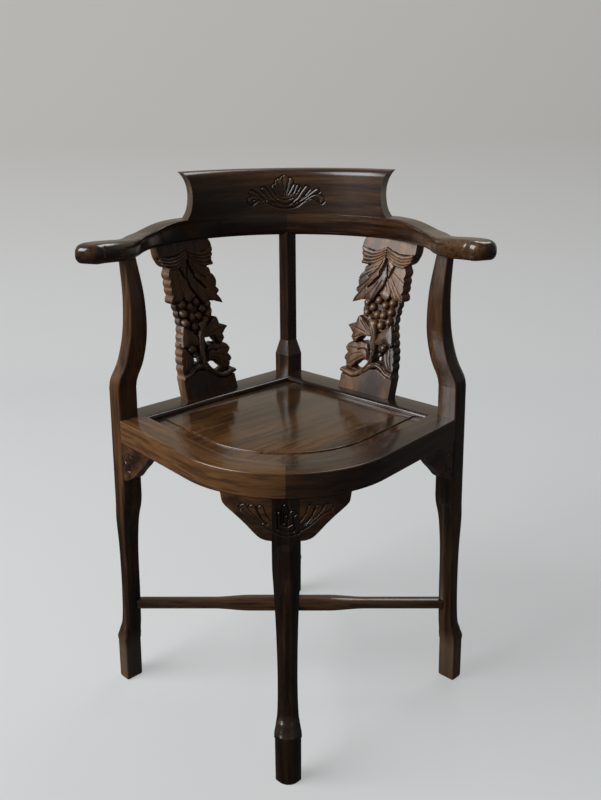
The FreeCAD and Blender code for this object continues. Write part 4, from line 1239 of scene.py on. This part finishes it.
def stretcherFace(bm):
    # half outlines of a unit section, from the top to the bottom of one side
    side = [(0.25, 0.5), (0.42, 0.42), (0.5, 0.28), (0.5, 0.14), (0.46, 0.10), (0.5, 0.05), (0.5, -0.2),
            (0.46, -0.25), (0.5, -0.3), (0.5, -0.42), (0.4, -0.5)]
    outline = side + [(-y, z) for y, z in reversed(side)]
    return newFace(bm, [(0, y, z) for y, z in outline])


def stretcherPlace(along, full):
    s = stretcher
    width = between(s["endWidth"], s["midWidth"], full)
    height = between(s["endHeight"], s["midHeight"], full)
    return Matrix.Translation((along, 0, s["level"])) @ Matrix.Diagonal((1, width, height, 1))


def makeStretcher(left, right):
    bm = bmesh.new()
    s = stretcher
    face = stretcherFace(bm)
    stations = [(-left, 0.0), (-s["swell"] - s["taper"], 0.0), (-s["swell"], 1.0), (s["swell"], 1.0),
                (s["swell"] + s["taper"], 0.0), (right, 0.0)]
    places = []
    for (x0, full0), (x1, full1) in zip(stations, stations[1:]):
        steps = 10 if full0 != full1 else 2
        for step in range(steps):
            t = step / steps
            full = between(full0, full1, t * t * (3 - 2 * t))
            places.append(stretcherPlace(between(x0, x1, t), full))
    places.append(stretcherPlace(right, 0.0))
    bmesh.ops.transform(bm, matrix=places[0], verts=bm.verts)
    sweepFace(bm, face, [item @ places[0].inverted() for item in places[1:]])
    return bm


def stretcherReach(leg):
    ankleReach = leg["reach"] + chair["ankleSplay"] * leg["splay"]
    return ankleReach - leg["ankle"] / rootTwo + stretcher["intoLeg"]


sideReach = stretcherReach(sideLeg)
finishPiece(makeStretcher(sideReach, sideReach), "side_stretcher_wood", ["side_stretcher"],
            finishes["acrossBar"])
depthBar = makeStretcher(stretcherReach(frontLeg), sideReach)
bmesh.ops.rotate(depthBar, cent=(0, 0, 0), matrix=Matrix.Rotation(math.pi / 2, 3, "Z"), verts=depthBar.verts)
finishPiece(depthBar, "depth_stretcher_wood", ["depth_stretcher"], finishes["depthBar"])
print("stretchers made")


# The hidden pieces keep their own shape and get a plain finish

for node in ("panel_battens", "front_mitre_tongue", "arm_joint_tongue", "crest_dowels"):
    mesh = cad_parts[node].data
    mesh.materials.clear()
    mesh.materials.append(finishes["plain"])


# Stage, light and camera

stage = {
    "halfWidth": 6.0, "front": -6.0, "wallDistance": 1.6, "bend": 0.8, "wallHeight": 5.0,
    "floorSeen": (0.68, 0.70, 0.70, 1), "wallSeen": (0.56, 0.55, 0.53, 1), "lightOfItsOwn": 0.55,
    "floorBounce": (0.22, 0.22, 0.22, 1), "floorReflected": (0.04, 0.04, 0.04, 1),
    "wallReflected": (0.27, 0.245, 0.205, 1),
    "world": 0.045, "worldReflected": 0.12, "worldSeen": 0.42,
}


def stageMaterial():
    # pale for the camera; what the polish mirrors is a dim floor and a bright wall
    material = bpy.data.materials.new("paleStage")
    material.use_nodes = True
    tree = material.node_tree
    tree.nodes.clear()
    link = tree.links.new
    path = addNode(tree, "ShaderNodeLightPath")
    place = addNode(tree, "ShaderNodeTexCoord")
    split = addNode(tree, "ShaderNodeSeparateXYZ")
    link(place.outputs["Object"], split.inputs["Vector"])
    height = addNode(tree, "ShaderNodeMapRange")
    height.inputs["From Max"].default_value = stage["bend"]
    link(split.outputs["Z"], height.inputs["Value"])
    seen = ramp(tree, [(0.0, stage["floorSeen"]), (1.0, stage["wallSeen"])])
    mirrored = ramp(tree, [(0.0, stage["floorReflected"]), (0.6, stage["wallReflected"])])
    link(height.outputs["Result"], seen.inputs["Fac"])
    link(height.outputs["Result"], mirrored.inputs["Fac"])
    glow = addNode(tree, "ShaderNodeEmission")
    matt = addNode(tree, "ShaderNodeBsdfDiffuse")
    link(seen.outputs["Color"], glow.inputs["Color"])
    link(seen.outputs["Color"], matt.inputs["Color"])
    shown = addNode(tree, "ShaderNodeMixShader", Fac=stage["lightOfItsOwn"])
    link(matt.outputs["BSDF"], shown.inputs[1])
    link(glow.outputs["Emission"], shown.inputs[2])
    bounce = addNode(tree, "ShaderNodeBsdfDiffuse", Color=stage["floorBounce"])
    mirror = addNode(tree, "ShaderNodeEmission")
    link(mirrored.outputs["Color"], mirror.inputs["Color"])
    unseen = addNode(tree, "ShaderNodeMixShader")
    link(path.outputs["Is Glossy Ray"], unseen.inputs["Fac"])
    link(bounce.outputs["BSDF"], unseen.inputs[1])
    link(mirror.outputs["Emission"], unseen.inputs[2])
    either = addNode(tree, "ShaderNodeMixShader")
    link(path.outputs["Is Camera Ray"], either.inputs["Fac"])
    link(unseen.outputs["Shader"], either.inputs[1])
    link(shown.outputs["Shader"], either.inputs[2])
    output = addNode(tree, "ShaderNodeOutputMaterial")
    link(either.outputs["Shader"], output.inputs["Surface"])
    return material


def makeStage():
    bm = bmesh.new()
    start = bm.verts.new((-stage["halfWidth"], stage["front"], 0))
    end = bm.verts.new((stage["halfWidth"], stage["front"], 0))
    edge = bm.edges.new((start, end))
    stops = [(stage["wallDistance"], 0.0)]
    for step in range(1, 13):
        turn = math.pi / 2 * step / 12
        stops.append((stage["wallDistance"] + stage["bend"] * math.sin(turn),
                      stage["bend"] * (1 - math.cos(turn))))
    stops.append((stage["wallDistance"] + stage["bend"], stage["wallHeight"]))
    for y, z in stops:
        made = bmesh.ops.extrude_edge_only(bm, edges=[edge])["geom"]
        edge = [item for item in made if isinstance(item, bmesh.types.BMEdge)
                and all(vert in made for vert in item.verts)][0]
        for vert in edge.verts:
            vert.co.y, vert.co.z = y, z
    mesh = bpy.data.meshes.new("paleFloor")
    bm.to_mesh(mesh)
    bm.free()
    mesh.polygons.foreach_set("use_smooth", [True] * len(mesh.polygons))
    floor = bpy.data.objects.new("paleFloor", mesh)
    bpy.context.scene.collection.objects.link(floor)
    mesh.materials.append(stageMaterial())


lamps = {
    "keyLight": {"place": (-2.5, -0.95, 2.3), "aimHeight": 0.45, "size": (2.4, 2.4), "power": 125},
    "fillLight": {"place": (1.6, -2.4, 2.0), "aimHeight": 0.45, "size": (1.6, 1.6), "power": 0.8},
    "backLight": {"place": (0.9, 1.7, 3.0), "aimHeight": 0.5, "size": (1.4, 1.0), "power": 18},
}


def makeLamp(name, lamp):
    light = bpy.data.lights.new(name, "AREA")
    light.shape = "RECTANGLE"
    light.size, light.size_y = lamp["size"]
    light.energy = lamp["power"]
    piece = bpy.data.objects.new(name, light)
    piece.location = lamp["place"]
    aim = Vector((0, 0, lamp["aimHeight"])) - Vector(lamp["place"])
    piece.rotation_euler = aim.to_track_quat("-Z", "Y").to_euler()
    bpy.context.scene.collection.objects.link(piece)


def makeWorld():
    world = bpy.data.worlds.new("paleRoom")
    bpy.context.scene.world = world
    world.use_nodes = True
    tree = world.node_tree
    background = tree.nodes["Background"]
    background.inputs["Color"].default_value = (0.98, 0.98, 0.97, 1)
    path = addNode(tree, "ShaderNodeLightPath")
    strength = addNode(tree, "ShaderNodeMapRange")
    strength.inputs["To Min"].default_value = stage["world"]
    strength.inputs["To Max"].default_value = stage["worldReflected"]
    tree.links.new(path.outputs["Is Glossy Ray"], strength.inputs["Value"])
    seen = addNode(tree, "ShaderNodeMath", operation="MULTIPLY_ADD")
    seen.inputs[1].default_value = stage["worldSeen"]
    tree.links.new(path.outputs["Is Camera Ray"], seen.inputs[0])
    tree.links.new(strength.outputs["Result"], seen.inputs[2])
    tree.links.new(seen.outputs["Value"], background.inputs["Strength"])


camera = {
    "place": (18.13, -1322.96, 902.04), "pitch": 0.2293, "yaw": -0.0231, "roll": -0.0124,
    "focal": 900, "middle": (278, 325), "picture": (601, 800),
}


def makeCamera():
    data = bpy.data.cameras.new("viewer")
    width, height = camera["picture"]
    longSide = max(width, height)
    data.sensor_fit = "AUTO"
    data.sensor_width = 36
    data.lens = 36 * camera["focal"] / longSide
    data.shift_x = (width / 2 - camera["middle"][0]) / longSide
    data.shift_y = (camera["middle"][1] - height / 2) / longSide
    viewer = bpy.data.objects.new("viewer", data)
    turn = (Matrix.Rotation(-camera["yaw"], 4, "Z") @ Matrix.Rotation(math.pi / 2 - camera["pitch"], 4, "X")
            @ Matrix.Rotation(camera["roll"], 4, "Z"))
    place = Vector(camera["place"]) * mm + Vector((0, seatMiddleY, 0))
    viewer.matrix_world = Matrix.Translation(place) @ turn
    bpy.context.scene.collection.objects.link(viewer)
    bpy.context.scene.camera = viewer


makeStage()
makeWorld()
for lampName, lampValues in lamps.items():
    makeLamp(lampName, lampValues)
makeCamera()
bpy.context.scene.view_settings.view_transform = "Standard"
print("stage made")
